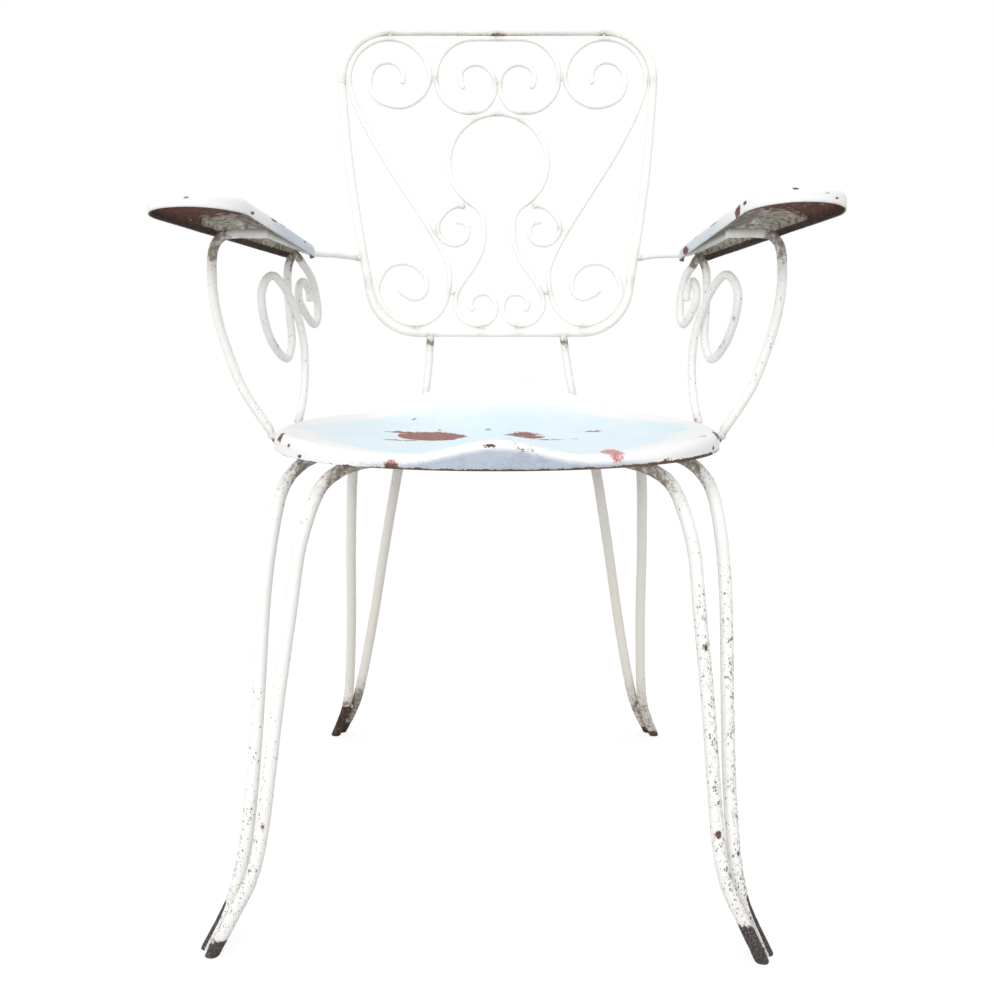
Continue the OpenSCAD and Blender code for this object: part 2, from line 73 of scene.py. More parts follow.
RAIL_Z = SEAT_HEIGHT + BACK_LIFT
ARM_Z = SEAT_HEIGHT + ARM_LIFT
SEAT_FRONT, SEAT_MIDDLE = 50.0, 232.0
RAIL_DEPTH = SEAT_FRONT + SEAT_DEPTH + 2
PAD_FRONT_DEPTH, PAD_REAR_DEPTH = 109.0, 325.0
PAD_FRONT_X, PAD_REAR_X = SEAT_WIDTH / 2 + 30, SEAT_WIDTH / 2 - 8
FRONT_FACE = -4.0
REAR_FACE = RAIL_DEPTH + BACK_HEIGHT * math.sin(RECLINE) + FRAME_ROD / 2
MIDDLE = (FRONT_FACE + REAR_FACE) / 2

# How far a new piece may lie from the box of the CAD node that it stands for.
BOX_SLACK = 1.6
# Visual rods are this share of their full diameter, so that no lump reaches past the frame.
ROD_SHARE = 0.985


# ---- sizes and colours that a user may change ----

def colour(name, description, default):
    return FloatVectorProperty(name=name, description=description, default=default,
                               subtype="COLOR", size=3, min=0.0, max=1.0)


def number(name, description, default, **limits):
    return FloatProperty(name=name, description=description, default=default, **limits)


def share(name, description, default):
    return number(name, description, default, subtype="FACTOR", min=0.0, max=1.0)


def length(name, description, default, low=0.0, high=5.0):
    return number(name, description, default, min=low, max=high, unit="LENGTH")


class GardenChairFinish(bpy.types.PropertyGroup):
    """Colours and wear of the old paint."""
    rod_paint: colour("Rod paint", "Off-white paint of the legs", (0.93, 0.927, 0.905))
    back_paint: colour("Back paint", "Creamy paint of the back and the arms", (0.945, 0.94, 0.91))
    seat_paint: colour("Seat paint", "Pale blue paint in the seat's hollow", (0.70, 0.85, 0.92))
    rim_paint: colour("Rim paint", "White paint on the rims and the pads", (0.90, 0.91, 0.91))
    # Blue-grey painted shade on the seat's front skirt and on the inner side of the pads' tops.
    painted_blue_shade: colour("Skirt paint", "Greyish blue of the seat's front skirt", (0.48, 0.54, 0.63))
    cream_paint: colour("Cream paint", "Yellowed paint of the back and rear legs", (0.86, 0.82, 0.71))
    aged_paint: colour("Aged paint", "Paint that has yellowed or greyed", (0.74, 0.71, 0.62))
    # Colour of the dirt, and of the painted shade under rods, under the pads and in corners.
    grime: colour("Grime", "Dirt in corners and under rods", (0.165, 0.118, 0.075))
    dark_metal: colour("Dark metal", "Bare steel that has gone black", (0.045, 0.036, 0.036))
    rust: colour("Rust", "Brown rust under lost paint", (0.18, 0.078, 0.055))
    primer: colour("Primer", "Pinkish red of the old primer", (0.50, 0.14, 0.13))
    pitting: share("Pitting", "How much of the pitted rods the dark specks take", 0.8)
    # How strongly the dirt and the painted shade show.
    darkening: share("Dirt", "How strongly the dirt shows", 0.92)


class GardenChairShape(bpy.types.PropertyGroup):
    """Sizes of the small relief."""
    lumps: length("Lumps", "Depth of the lumps in the thick paint", 0.00022, high=0.001)
    chip_depth: length("Chip depth", "Thickness of the lost paint", 0.00025, high=0.001)
    bead: length("Weld bead", "Radius of a weld bead", 0.0034, 0.001, 0.008)
    pitch: length("Pitch", "Distance between the rings of a rod", 0.0016, 0.0008, 0.01)


class GardenChairStage(bpy.types.PropertyGroup):
    """Camera and lamps."""
    eye_height: length("Eye height", "Height of the camera", 0.5425)
    eye_distance: length("Eye distance", "From the camera to the front feet", 0.7315)
    tilt: number("Tilt", "How far the camera looks down", math.radians(10.5), subtype="ANGLE")
    lens: number("Lens", "Focal length in millimetres", 34.406, min=10.0)
    key: number("Key lamp", "Power of the lamp overhead", 10.0, subtype="POWER", min=0.0)
    fill: number("Fill lamp", "Power of the lamp in front", 60.0, subtype="POWER", min=0.0)
    sky: share("Sky", "Strength of the even light from all round", 0.85)


# ---- numbers ----

def unit(v):
    return v / np.linalg.norm(v, axis=-1, keepdims=True)


def mix(a, b, t):
    return a * (1 - t) + b * t


def ease(low, high, x):
    """0 below low, 1 above high and a smooth S between them; low may be the larger one."""
    t = np.clip((x - low) / (high - low), 0.0, 1.0)
    return t * t * (3 - 2 * t)


def bell(x, width):
    """1 at x = 0, falling along a cosine to 0 at x = width."""
    return (1 + np.cos(np.pi * np.clip(np.abs(x) / width, 0, 1))) / 2


def noise(points, size, seed=0):
    """Smooth noise from 0 to 1: each corner of a cube lattice has a hashed value, and a
    point takes the mix of its cell's eight corners, weighted by smooth steps."""
    place = points / size
    cell = np.floor(place).astype(np.int64)
    part = place - cell
    part = part * part * (3 - 2 * part)
    total = np.zeros(points.shape[:-1])
    for corner in np.ndindex(2, 2, 2):
        c = cell + np.array(corner)
        mixed = c[..., 0] * 73856093 ^ c[..., 1] * 19349663 ^ c[..., 2] * 83492791 ^ seed * 6542989
        mixed = (mixed ^ (mixed >> 13)) * 1274126177 & 0x7FFFFFFF
        mixed = (mixed ^ (mixed >> 16)) & 0xFFFF
        total += mixed / 65535.0 * np.where(corner, part, 1 - part).prod(-1)
    return total


# ---- lines ----

def smooth(knots, steps=16):
    """Cubic pieces through the knots, whose slope at a knot follows its two neighbours."""
    k = np.asarray(knots, float)
    padded = np.vstack([k[:1], k, k[-1:]])
    a, b, c, d = (padded[i:i + len(k) - 1, None] for i in range(4))
    t = np.linspace(0, 1, steps, endpoint=False)[None, :, None]
    line = (2 * b + (c - a) * t + (2 * a - 5 * b + 4 * c - d) * t ** 2
            + (3 * b - a - 3 * c + d) * t ** 3) / 2
    return np.vstack([line.reshape(-1, k.shape[1]), k[-1:]])


def bend(a, b, c, d, steps=48):
    """A cubic bend from a to d that leaves towards b and arrives from c, without its ends."""
    t = np.linspace(0, 1, steps + 1)[1:-1, None]
    a, b, c, d = (np.asarray(p, float) for p in (a, b, c, d))
    return a * (1 - t) ** 3 + b * 3 * t * (1 - t) ** 2 + c * 3 * t * t * (1 - t) + d * t ** 3


def arc(centre, radius, start, end, steps=40):
    """Points on a circle between two angles in degrees."""
    a = np.radians(np.linspace(start, end, steps + 1))
    return np.asarray(centre) + radius * np.stack([np.cos(a), np.sin(a)], 1)


def curl(centre, start, way, table):
    """Points round a centre whose radius follows a table of (degrees turned, radius)."""
    turned, radii = np.array(table, float).T
    turn = np.linspace(0, turned[-1], int(turned[-1] / 4) + 1)
    a = np.radians(start + way * turn)
    return np.asarray(centre) + np.interp(turn, turned, radii)[:, None] * np.stack([np.cos(a), np.sin(a)], 1)


def mirrored(line):
    """The line's mirror image, run backwards, so that the two join at the middle."""
    return line[::-1] * [-1, 1]


def paced(line, pitch, radius, closed):
    """The same line with its points an even pitch apart, and closer at open ends."""
    if closed:
        line = np.vstack([line, line[:1]])
    along = np.concatenate([[0], np.cumsum(np.linalg.norm(np.diff(line, axis=0), axis=1))])
    total = along[-1]
    if closed:
        stops = np.linspace(0, total, int(total / pitch), endpoint=False)
    else:
        end = radius * np.array([0, 0.1, 0.3, 0.6])
        stops = np.concatenate([end, np.linspace(radius, total - radius, int(total / pitch)),
                                total - end[::-1]])
    return np.stack([np.interp(stops, along, line[:, i]) for i in range(3)], 1), stops, total


# ---- where things are ----

def pad_z(depth, side):
    """Height of the lower edge of a pad's flange at a depth."""
    return ARM_Z - (RIGHT_DROP if side == RIGHT else 0) + (PAD_REAR_DEPTH - depth) * math.tan(RISE[side])


BACK_SLIP = 3.2


def on_back(line, side=RIGHT):
    """Lays an (across, up) line on the leaning back, whose top sits a little to one side."""
    line = np.atleast_2d(np.asarray(line, float))
    up = line[:, 1]
    return np.stack([side * line[:, 0] + BACK_SLIP * (1 - up / BACK_HEIGHT),
                     RAIL_DEPTH + up * math.sin(RECLINE), RAIL_Z + up * math.cos(RECLINE)], 1)


BACK_NORMAL = np.array([0, -math.cos(RECLINE), math.sin(RECLINE)])
FRAME_TILT = math.atan2((BACK_TOP - BACK_BOTTOM) / 2, BACK_HEIGHT)
TOP_RADIUS, BOTTOM_RADIUS, SIDE_BOW = 57.0, 58.0, 4.0


def side_line_x(up):
    return mix(BACK_BOTTOM, BACK_TOP, up / BACK_HEIGHT) / 2


def frame_side_x(up):
    """Across place of the frame's side, which bows outwards along half a sine wave."""
    share_up = np.clip((up - BOTTOM_RADIUS) / (BACK_HEIGHT - TOP_RADIUS - BOTTOM_RADIUS), 0, 1)
    return side_line_x(up) + SIDE_BOW * np.sin(np.pi * share_up)


def corner_centre(up, radius):
    return np.array([side_line_x(up) - radius / math.cos(FRAME_TILT), up])


TOP_CORNER = corner_centre(BACK_HEIGHT - TOP_RADIUS, TOP_RADIUS)
BOTTOM_CORNER = corner_centre(BOTTOM_RADIUS, BOTTOM_RADIUS)

# Seat: exponents of its oval outline in front and at the rear, and its rises.
FRONT_POWER, REAR_POWER = 2.1, 2.4
LIP_RISE, LIP_WIDTH, THIGH_DROP, POMMEL_RISE, SKIRT, HOLLOW = 38.0, 165.0, 6.0, 14.0, 17.0, 14.0


def seat_edge(depth):
    """Half-width of the seat's outline at a depth."""
    front = depth < SEAT_MIDDLE
    power = FRONT_POWER if front else REAR_POWER
    half = SEAT_MIDDLE - SEAT_FRONT if front else SEAT_FRONT + SEAT_DEPTH - SEAT_MIDDLE
    return SEAT_WIDTH / 2 * (1 - (abs(depth - SEAT_MIDDLE) / half) ** power) ** (1 / power)


# ---- centrelines of the rods ----

def under_pan(x, depth):
    """Height of the pan's lower face, less the weld gap, at a place under it."""
    y = depth - SEAT_MIDDLE
    power = FRONT_POWER if y < 0 else REAR_POWER
    half = SEAT_MIDDLE - SEAT_FRONT if y < 0 else SEAT_FRONT + SEAT_DEPTH - SEAT_MIDDLE
    part = ((abs(x) / (SEAT_WIDTH / 2)) ** power + (abs(y) / half) ** power) ** (1 / power)
    px, py = x / part, y / part
    f = part / (1 - RIM_ROLL / math.hypot(px, py))
    lip = 0 if y < 0 else LIP_RISE * bell(px, LIP_WIDTH) ** 0.7
    thigh = THIGH_DROP * ease(0, 90, 200 - abs(px)) if y < 0 else 0
    pommel = POMMEL_RISE * bell(px, 85) if y < 0 else 0
    ridge = 7 * bell(px * f, 60) * ease(0, 1, f * 2) * (1 - f ** 4) if y < 0 else 0
    return mix(SEAT_HEIGHT - HOLLOW, SEAT_HEIGHT + lip - thigh + pommel, f ** 2.6) + ridge - SHEET - WELD_GAP


def leg_top(x, depth):
    """Height of a leg rod's centre where it lies against the pan."""
    return under_pan(x, depth) - LEG_ROD / 2


TOE, HEEL_X = FRONT_SPREAD / 2, REAR_SPREAD / 2
UNDER_SEAT = SEAT_HEIGHT - 20.75 - LEG_ROD / 2
FRONT_OUTER_TOP, FRONT_INNER_TOP = leg_top(TOE - 100, 162), leg_top(TOE - 140, 114)
REAR_OUTER_TOP = leg_top(HEEL_X - 84, FOOT_DEPTH - 120)
REAR_INNER_TOP = leg_top(HEEL_X - 114, FOOT_DEPTH - 116)
SWAY_HEIGHT = 360.0
SWAY = {("front", LEFT): (-10, 4), ("front", RIGHT): (-9.5, -4),
        ("rear", LEFT): (-3, 0), ("rear", RIGHT): (-3, 0)}
BESIDE = {"front": (0.52, 0.856, 0), "rear": (0.48, -0.88, 0)}
LEG_KNOTS = {
    ("front", "outer"): [(3, 6.5, 0), (-15.5, 13.3, 37), (-23.5, 19.3, 65), (-28, 28.3, 100),
                         (-30, 46.3, 150), (-30, 69.3, 210), (-29.5, 99.3, UNDER_SEAT - 120),
                         (-32.5, 121.3, UNDER_SEAT - 65), (-40.5, 137.3, UNDER_SEAT - 22),
                         (-57.5, 145.3, UNDER_SEAT), (-81.5, 149.3, FRONT_OUTER_TOP - 1.3),
                         (-106.5, 151.3, FRONT_OUTER_TOP)],
    ("front", "inner"): [(3, 6.5, 0), (-15.5, 11, 37), (-29, 17, 65), (-36.5, 26, 100), (-41, 40, 150),
                         (-46, 55, 210), (-54, 77, UNDER_SEAT - 120), (-60, 92, UNDER_SEAT - 65),
                         (-75, 103, UNDER_SEAT - 18), (-93, 109, UNDER_SEAT),
                         (-117, 112, FRONT_INNER_TOP - 1.2), (-140, 114, FRONT_INNER_TOP)],
    ("rear", "outer"): [(-2, 10, 0), (-19, -3, 45), (-26, -13, 91), (-33, -36, 177),
                        (-38, -60, UNDER_SEAT - 141), (-45, -85, UNDER_SEAT - 50), (-52, -97, UNDER_SEAT - 15),
                        (-68, -105, REAR_OUTER_TOP - 4), (-90, -109, REAR_OUTER_TOP)],
    ("rear", "inner"): [(-2, 10, 0), (-23, -5, 45), (-36, -18, 91), (-53, -34, 172),
                        (-70, -53, UNDER_SEAT - 145), (-88, -71, UNDER_SEAT - 52), (-97, -83, UNDER_SEAT - 17),
                        (-106, -96, REAR_INNER_TOP - 4.6), (-114, -116, REAR_INNER_TOP)],
}


def leg_line(end, side, place):
    """A leg rod through its knots, pushed sideways more and more towards the floor."""
    knots = np.array(LEG_KNOTS[end, place], float)
    knots += [TOE if end == "front" else HEEL_X, 0 if end == "front" else FOOT_DEPTH, 0]
    if place == "outer":
        knots += LEG_ROD * np.array(BESIDE[end])
    low = 1 - np.clip(knots[:, 2] / SWAY_HEIGHT, 0, 1)
    sway = SWAY[end, side]
    return smooth(np.stack([side * knots[:, 0] + sway[0] * low, knots[:, 1] + sway[1] * low, knots[:, 2]], 1))


RAIL_IN_PAD = PAD_FLANGE - SHEET - RAIL_ROD / 2 - WELD_GAP
HOOK_IN_PAD = RAIL_IN_PAD - (RAIL_ROD + POST_ROD) / 2 - WELD_GAP
SUPPORT_DEPTH, HOOK_DEPTH = 200.0, 190.0
SEAT_SIDE = seat_edge(SUPPORT_DEPTH + POST_ROD / 2)


def support_line(side):
    """From the seat's side out and up, then hooked inwards under the pad."""
    hook = pad_z(HOOK_DEPTH, side) + HOOK_IN_PAD
    rise = [(0, 200, -4), (17, 200, 22), (29, 199, 44), (38, 197, 71), (45, 195, 97), (49, 193, 122),
            (50, 192, 146)]
    knots = [(SEAT_SIDE + x, depth, SEAT_HEIGHT + z) for x, depth, z in rise]
    knots += [(SEAT_SIDE + x, depth, hook + z) for x, depth, z in
              [(47, 191, -15), (38, 190, -3), (24, 190, 0), (6, 190, 0), (-6, 190, 0)]]
    return smooth(np.array(knots) * [side, 1, 1])


SCROLL_SWING, SCROLL_SHIFT, ARCH_DEPTH = 0.32, 10.0, 318.0
SCROLL_X = seat_edge(291.0) + 4.3
SCROLL_PASS = ARM_ROD / 2 + WELD_GAP


def scroll_line(side):
    """Up from the seat's rim, over forwards in a loop, up to the rail under the pad and over
    backwards in a smaller curl, in an upright plane that swings out towards the front."""
    arch = pad_z(ARCH_DEPTH, side) - SEAT_HEIGHT + RAIL_IN_PAD - (RAIL_ROD + ARM_ROD) / 2 - WELD_GAP
    depth, up, out, rear = np.array(
        [(291, -1, -1, 0.8), (300, 15, -1, 0.8), (308, 42, -1, 0.8), (309, 76, -1, 0.9), (301, 104, -1, 1),
         (286, 127, -1, 1), (271, 142, -1, 1), (253, 151, -1, 1), (240, 145, -0.7, 1), (235, 129, -0.3, 1.1),
         (246, 105, 0.4, 1), (265, 81, 0.9, 0.9), (290, 66, 1, 1), (303, 84, 1, 0.6), (302, 110, 1, 0.3),
         (301, 140, 1, 0.1), (304, arch - 13, 1, 0), (ARCH_DEPTH, arch, 1, 0), (333, arch - 9, 1, 0.4),
         (349, 152, 1, 0.8), (358, 129, 1, 1), (358, 111, 1, 1.2), (350, 102, 1, 1.1), (334, 113, 1, 0.8),
         (322, 129, 1, 0.4), (324, 144, 1, 0.3), (334, 148, 1, 0.4), (343, 138, 1, 0.6), (343, 127, 1, 0.6)]).T
    x = side * (SCROLL_X + SCROLL_SWING * (290 - depth) + SCROLL_PASS * out)
    return smooth(np.stack([x, depth - side * SCROLL_SHIFT * rear, SEAT_HEIGHT + up], 1))


def scroll_foot(side):
    """Height of the scroll's foot, on the rounded rim of the seat."""
    out = SCROLL_X - SCROLL_PASS - ARM_ROD / 2 - seat_edge(291 - side * SCROLL_SHIFT * 0.8) + RIM_ROLL
    return SEAT_HEIGHT - RIM_ROLL + math.sqrt(RIM_ROLL ** 2 - out ** 2) + WELD_GAP


RAIL_START, RAIL_OUT_X, RAIL_MEETS = 178.0, PAD_REAR_X - 3, 90.0


def pad_axis_x(depth):
    return mix(PAD_REAR_X, PAD_FRONT_X, (PAD_REAR_DEPTH - depth) / (PAD_REAR_DEPTH - PAD_FRONT_DEPTH))


def rail_line(side):
    """Under the pad along its axis, then out of its rear and in to the back frame."""
    meet = on_back([side * (frame_side_x(RAIL_MEETS) + (FRAME_ROD + RAIL_ROD) / 2 + WELD_GAP), RAIL_MEETS])[0]
    in_pad = [(side * pad_axis_x(depth), depth, pad_z(depth, side) + RAIL_IN_PAD)
              for depth in (RAIL_START, 230.0, 280.0, 325.0)]
    out_x = side * (RAIL_OUT_X - 5)
    return smooth(in_pad + [(out_x, 362, mix(pad_z(362, side) + RAIL_IN_PAD, meet[2], 0.6)),
                            mix(np.array([out_x, 362, meet[2] + 1]), meet, 0.55),
                            meet + [side * 2, -6, 0], meet + [-side * 2, 12, 0]])


POST_X, RIGHT_FLARE = 80.0, 6.0
POST_TOP = RAIL_Z - (FRAME_ROD / 2 + WELD_GAP) / math.cos(RECLINE)


def post_line(side):
    """From the bottom rail down behind the seat's lip, then forwards under the seat."""
    knots = np.array([(2, -1.5, 57), (5, -3.5, 30), (8, -5.7, 8), (8.5, -6.4, 1.5), (9, -9, -2.5),
                      (9.5, -15, -4.5), (11, -29, -4.5), (13, -48, -3.2)])
    flare = (RIGHT_FLARE if side == RIGHT else 0) * np.clip((BACK_LIFT - knots[:, 2]) / 86, 0, 1)
    knots = np.stack([side * (POST_X + knots[:, 0]) + flare, RAIL_DEPTH + knots[:, 1],
                      SEAT_HEIGHT + knots[:, 2]], 1)
    return smooth(np.vstack([[(side * POST_X, RAIL_DEPTH, POST_TOP)], knots]))


def frame_line():
    """The closed frame: two corner arcs and a bowed side, then the same on the other side."""
    up = np.linspace(BOTTOM_RADIUS, BACK_HEIGHT - TOP_RADIUS, 60)[1:-1]
    tilt = math.degrees(FRAME_TILT)
    half = np.vstack([arc(BOTTOM_CORNER, BOTTOM_RADIUS, -90, -tilt), np.stack([frame_side_x(up), up], 1),
                      arc(TOP_CORNER, TOP_RADIUS, -tilt, 90)])
    return on_back(np.vstack([half, mirrored(half)]))


def corner_line():
    """A curl in the frame's top corner, a diagonal and a curl in its bottom corner."""
    hug = TOP_RADIUS - FRAME_PITCH
    top = curl(TOP_CORNER, -15, 1, [(0, hug), (115, hug), (195, 49), (285, 31), (375, 23),
                                    (475, 20.5), (575, 16)])
    low_hug = BOTTOM_RADIUS - FRAME_PITCH - WELD_GAP
    low = smooth(np.vstack([
        [(65.8, 92), (59.8, 74), (60.3, 53), (67, 31), (80.5, 16)],
        arc(BOTTOM_CORNER, low_hug, -90, -8, 4),
        [(140, 70), (131, 79.5), (117, 83.5), (101, 80), (90, 69), (87, 57), (91, 45), (101, 40.5), (111, 44),
         (121, 51)]]))
    lean = np.radians(15)
    diagonal = bend(top[0], top[0] - 68 * np.array([np.sin(lean), np.cos(lean)]), low[0] + [24.5, 53], low[0])
    return np.vstack([top[::-1], diagonal, low])


def top_line():
    """Flat under the top rail, with a curl down at each end."""
    centre = (31.5, BACK_HEIGHT - 58)
    half = curl(centre, 90, -1, [(0, 58 - FRAME_PITCH), (90, 42), (180, 38.5), (205, 38),
                                 (262, 28.5), (270, 28), (360, 18), (450, 12.5), (500, 13)])
    return np.vstack([mirrored(half), half])


KEY_RADIUS = 59.0
KEY_CENTRE = np.array([0, BACK_HEIGHT - 157])
KEY_CURL = np.array([22.0, 34.0])


def key_line():
    """A round loop, a neck, and a curl to each side at the bottom."""
    loop = arc(KEY_CENTRE, KEY_RADIUS, 90, -60, 60)
    low = curl(KEY_CURL, 0, -1, [(0, 31), (90, KEY_CURL[1] - FRAME_PITCH), (180, 17.5),
                                 (270, 12.5), (400, 12)])
    waist = np.array([17.5, KEY_CENTRE[1] - 85])
    lean = np.radians(30)
    half = np.vstack([loop, bend(loop[-1], loop[-1] - 14 * np.array([np.cos(lean), np.sin(lean)]),
                                 waist + [0, 14], waist, 16), [waist],
                      bend(waist, waist - [0, 40], low[0] + [0, 30], low[0], 24), low])
    return np.vstack([mirrored(half), half[1:]])


def neck_line():
    """A small curl that springs from the bottom of the keyhole's loop."""
    return curl((52.7, KEY_CENTRE[1] - 78), 114, -1, [(0, 29), (64, 21), (240, 19.5), (300, 15), (370, 7)])


# ---- welds ----

def weld_points():
    """Where rods are welded: name of the group -> list of (point, size). A point of size 0
    has no bead and only gathers dirt."""
    back, arms, legs = [], [], []
    for side in SIDES.values():
        back += [(on_back(p, side)[0], size) for p, size in [
            ((74.6, BACK_HEIGHT - 58), 0.8), ((31, KEY_CENTRE[1] + 56), 0.0), ((43, KEY_CENTRE[1] - 51.5), 1.0),
            ((74.5, KEY_CENTRE[1] - 80), 0.8), ((56.5, 48), 0.9), ((22, 4.5), 0.8), ((100, 4.5), 0.7),
            ((157, 60), 0.7), ((184, 300), 0.7), ((128, BACK_HEIGHT - 5), 0.6)]]
        back.append((np.array([side * POST_X, RAIL_DEPTH - 2, POST_TOP - 0.5]), 1.2))
        back.append((on_back([side * (frame_side_x(RAIL_MEETS) + 5.3), RAIL_MEETS])[0], 1.0))
        hook = pad_z(HOOK_DEPTH, side) + HOOK_IN_PAD
        arms += [(np.array([side * pad_axis_x(HOOK_DEPTH), HOOK_DEPTH, hook + 4.6]), 1.0),
                 (np.array([side * (SEAT_SIDE + 1), SUPPORT_DEPTH, SEAT_HEIGHT - 5]), 1.3),
                 (scroll_line(side)[0] * [1, 1, 0] + [0, 0, scroll_foot(side) + 1], 1.1),
                 (np.array([side * (SCROLL_X + 3), 265.0 - side * 9, SEAT_HEIGHT + 84]), 0.0)]
        for end in ("front", "rear"):
            for height in (5.0, 24.0, 46.0):
                inner, outer = (leg_line(end, side, place) for place in ("inner", "outer"))
                a, b = (line[np.argmin(abs(line[:, 2] - height))] for line in (inner, outer))
                legs.append(((a + b) / 2, 1.0))
    back += [(on_back([0, BACK_HEIGHT - down])[0], size)
             for down, size in ((98.5, 0.9), (6.5, 0.0), (60, 0.7))]
    return {"back": back, "arms": arms, "legs": legs}


WELDS = weld_points()


def nearness(points, places, reach):
    """1 at any of the places and falling to 0 along a bell at `reach` from them all."""
    near = np.zeros(points.shape[:-1])
    for place, _ in places:
        near = np.maximum(near, np.exp(-(((points - place) ** 2).sum(-1)) / reach ** 2))
    return near


# ---- wear: (centre, radius, stretch across, in depth and in height) of each lost flake ----

CHIPS = {
    "front_leg_left_inner": [((-183, 60, 265), 3.2, (1, 1, 1.8)), ((-182, 76, 325), 2.2, (1, 1, 2)),
                             ((-187, 45, 205), 1.6, (1, 1, 2)), ((-203, 27, 110), 1.8, (1, 1, 2.5))],
    "front_leg_left_outer": [((-205, 92, 300), 1.8, (1, 1, 1.6)), ((-210, 44, 140), 1.6, (1, 1, 2)),
                             ((-214, 28, 92), 2.0, (1, 1, 3))],
    "front_leg_right_inner": [((183, 76, 325), 1.2, (1, 1, 2)), ((186, 26, 144), 2.6, (1, 1, 2.4)),
                              ((185, 48, 205), 1.6, (1, 1, 2)), ((190, 20, 108), 2.2, (1.4, 1, 1.6)),
                              ((183, 62, 262), 1.4, (1, 1, 2))],
    "front_leg_right_outer": [((208, 85, 259), 1.4, (1, 1, 2)), ((206, 55, 190), 1.6, (1, 1, 2)),
                              ((207, 34, 120), 1.6, (1, 1, 3)), ((211, 25, 90), 1.8, (1, 1, 3))],
    "arm_support_left": [((-270, 184, 558), 2.2, (1, 1, 2.2)), ((-268, 186, 590), 1.2, (1, 1, 1.6))],
    "arm_support_right": [((256, 188, 511), 3.0, (1, 1, 1.4)), ((262, 188, 535), 1.2, (1, 1, 1.4)),
                          ((250, 193, 492), 1.3, (1, 1, 2))],
    "arm_scroll_right": [((234, 228, 542), 2.6, (1, 1, 1.8)), ((222, 262, 586), 1.4, (1, 1, 1))],
    "arm_scroll_left": [((-236, 262, 520), 1.6, (1, 1, 1.5))],
    "arm_pad_left": [((-209, 110, 634), 2.6, (1, 2.4, 0.5)), ((-206, 181, 635), 3.4, (1, 3.4, 0.45)),
                     ((-204, 214, 634), 3.6, (1, 3.4, 0.45)), ((-205, 246, 631), 2.6, (1, 3.2, 0.4)),
                     ((-250, 66, 641), 1.4, (1.6, 1, 0.7)), ((-201, 290, 624), 2.2, (1, 3.0, 0.5)),
                     ((-222, 76, 645), 1.2, (1.5, 1, 0.8)), ((-290, 95, 628), 2.0, (1, 2.4, 0.5))],
    "arm_pad_right": [((208, 122, 636), 5.4, (1, 1.5, 1.0)), ((209, 104, 641), 2.6, (1, 1.3, 0.6)),
                      ((204, 205, 634), 4.2, (1, 3.0, 0.45)), ((206, 180, 638), 2.6, (1, 1.8, 0.5)),
                      ((199, 300, 616), 4.6, (1, 2.4, 1.0)), ((202, 268, 627), 2.4, (1, 2.4, 0.5)),
                      ((242, 69, 648), 1.6, (2.2, 1, 0.6)), ((263, 70, 645), 2.0, (2.4, 1, 0.5)),
                      ((275, 75, 641), 1.8, (1.4, 1, 0.6)), ((224, 84, 648), 1.4, (1, 1, 1))],
    "seat_pan": [((-70, 260, 424), 19, (1.75, 1.8, 1)), ((-50, 264, 424), 9, (1.9, 1.7, 1)),
                 ((-104, 283, 424), 3.0, (7, 2.2, 1)), ((-95, 221, 425), 1.9, (7, 1.5, 1)),
                 ((28, 275, 424), 6.5, (2.6, 2.2, 1)), ((38, 258, 424), 4.5, (2.6, 2.4, 1)),
                 ((58, 236, 424), 1.9, (8, 1.8, 1)), ((105, 289, 426), 2.1, (5, 2.0, 1)),
                 ((-95, 352, 433), 1.3, (1, 2, 1)), ((-63, 304, 426), 1.2, (1, 2.5, 1)),
                 ((-9, 298, 426), 1.2, (1.4, 2.5, 1)), ((-8, 53, 441), 2.2, (1.9, 1.5, 0.6)),
                 ((-24, 53, 440), 1.1, (1.2, 1.5, 0.6)),
                 ((14, 52, 441), 0.9, (0.9, 2, 2.4)), ((20, 51, 439), 1.0, (0.8, 2, 2.6)),
                 ((27, 52, 439), 0.9, (0.9, 2, 2.8)), ((34, 52, 438), 1.0, (0.8, 2, 2.2)),
                 ((101, 98, 430), 9.0, (0.95, 4.0, 1)),
                 ((-90, 64, 421), 6.0, (0.9, 3, 1)), ((-205, 168, 434), 4.6, (0.8, 2.4, 1)),
                 ((-191, 136, 430), 1.8, (1, 1.4, 1)), ((-178, 119, 423), 2.4, (1.4, 1, 0.7)),
                 ((-214, 190, 426), 2.8, (1, 1.8, 1)), ((193, 154, 437), 2.6, (1.4, 1.4, 0.6)),
                 ((212, 185, 434), 4.8, (0.8, 2.4, 1)), ((203, 152, 426), 2.4, (1, 1.2, 1)),
                 ((190, 128, 421), 1.8, (2, 1, 0.6)), ((36, 66, 438), 1.0, (4, 1, 1)),
                 ((150, 92, 423), 1.4, (2, 1, 0.6)), ((170, 105, 421), 1.2, (2, 1, 0.6))],
}
NO_CHIP = -12.0


def bare_field(node, points):
    """How far inside the nearest lost flake each point is, negative on sound paint: the
    flake's radius less the distance to its centre, measured in its stretched space."""
    field = np.full(points.shape[:-1], NO_CHIP)
    for centre, radius, stretch in CHIPS.get(node, []):
        apart = np.linalg.norm((points - centre) / stretch, axis=-1)
        field = np.maximum(field, radius - apart)
    return field


# Rear legs: height of the lost paint at the foot, how sharply it ends, pits and dirt above it.
REAR_FEET = {"left_inner": (18, 0.3, 0.8, 1.1), "left_outer": (47, 1.0, 0.3, 1.1),
             "right_inner": (9, 0.3, 0.45, 0.64), "right_outer": (7, 0.3, 0.45, 0.64)}
FRONT_TIPS = {"left_inner": 15, "left_outer": 42, "right_inner": 33, "right_outer": 50}


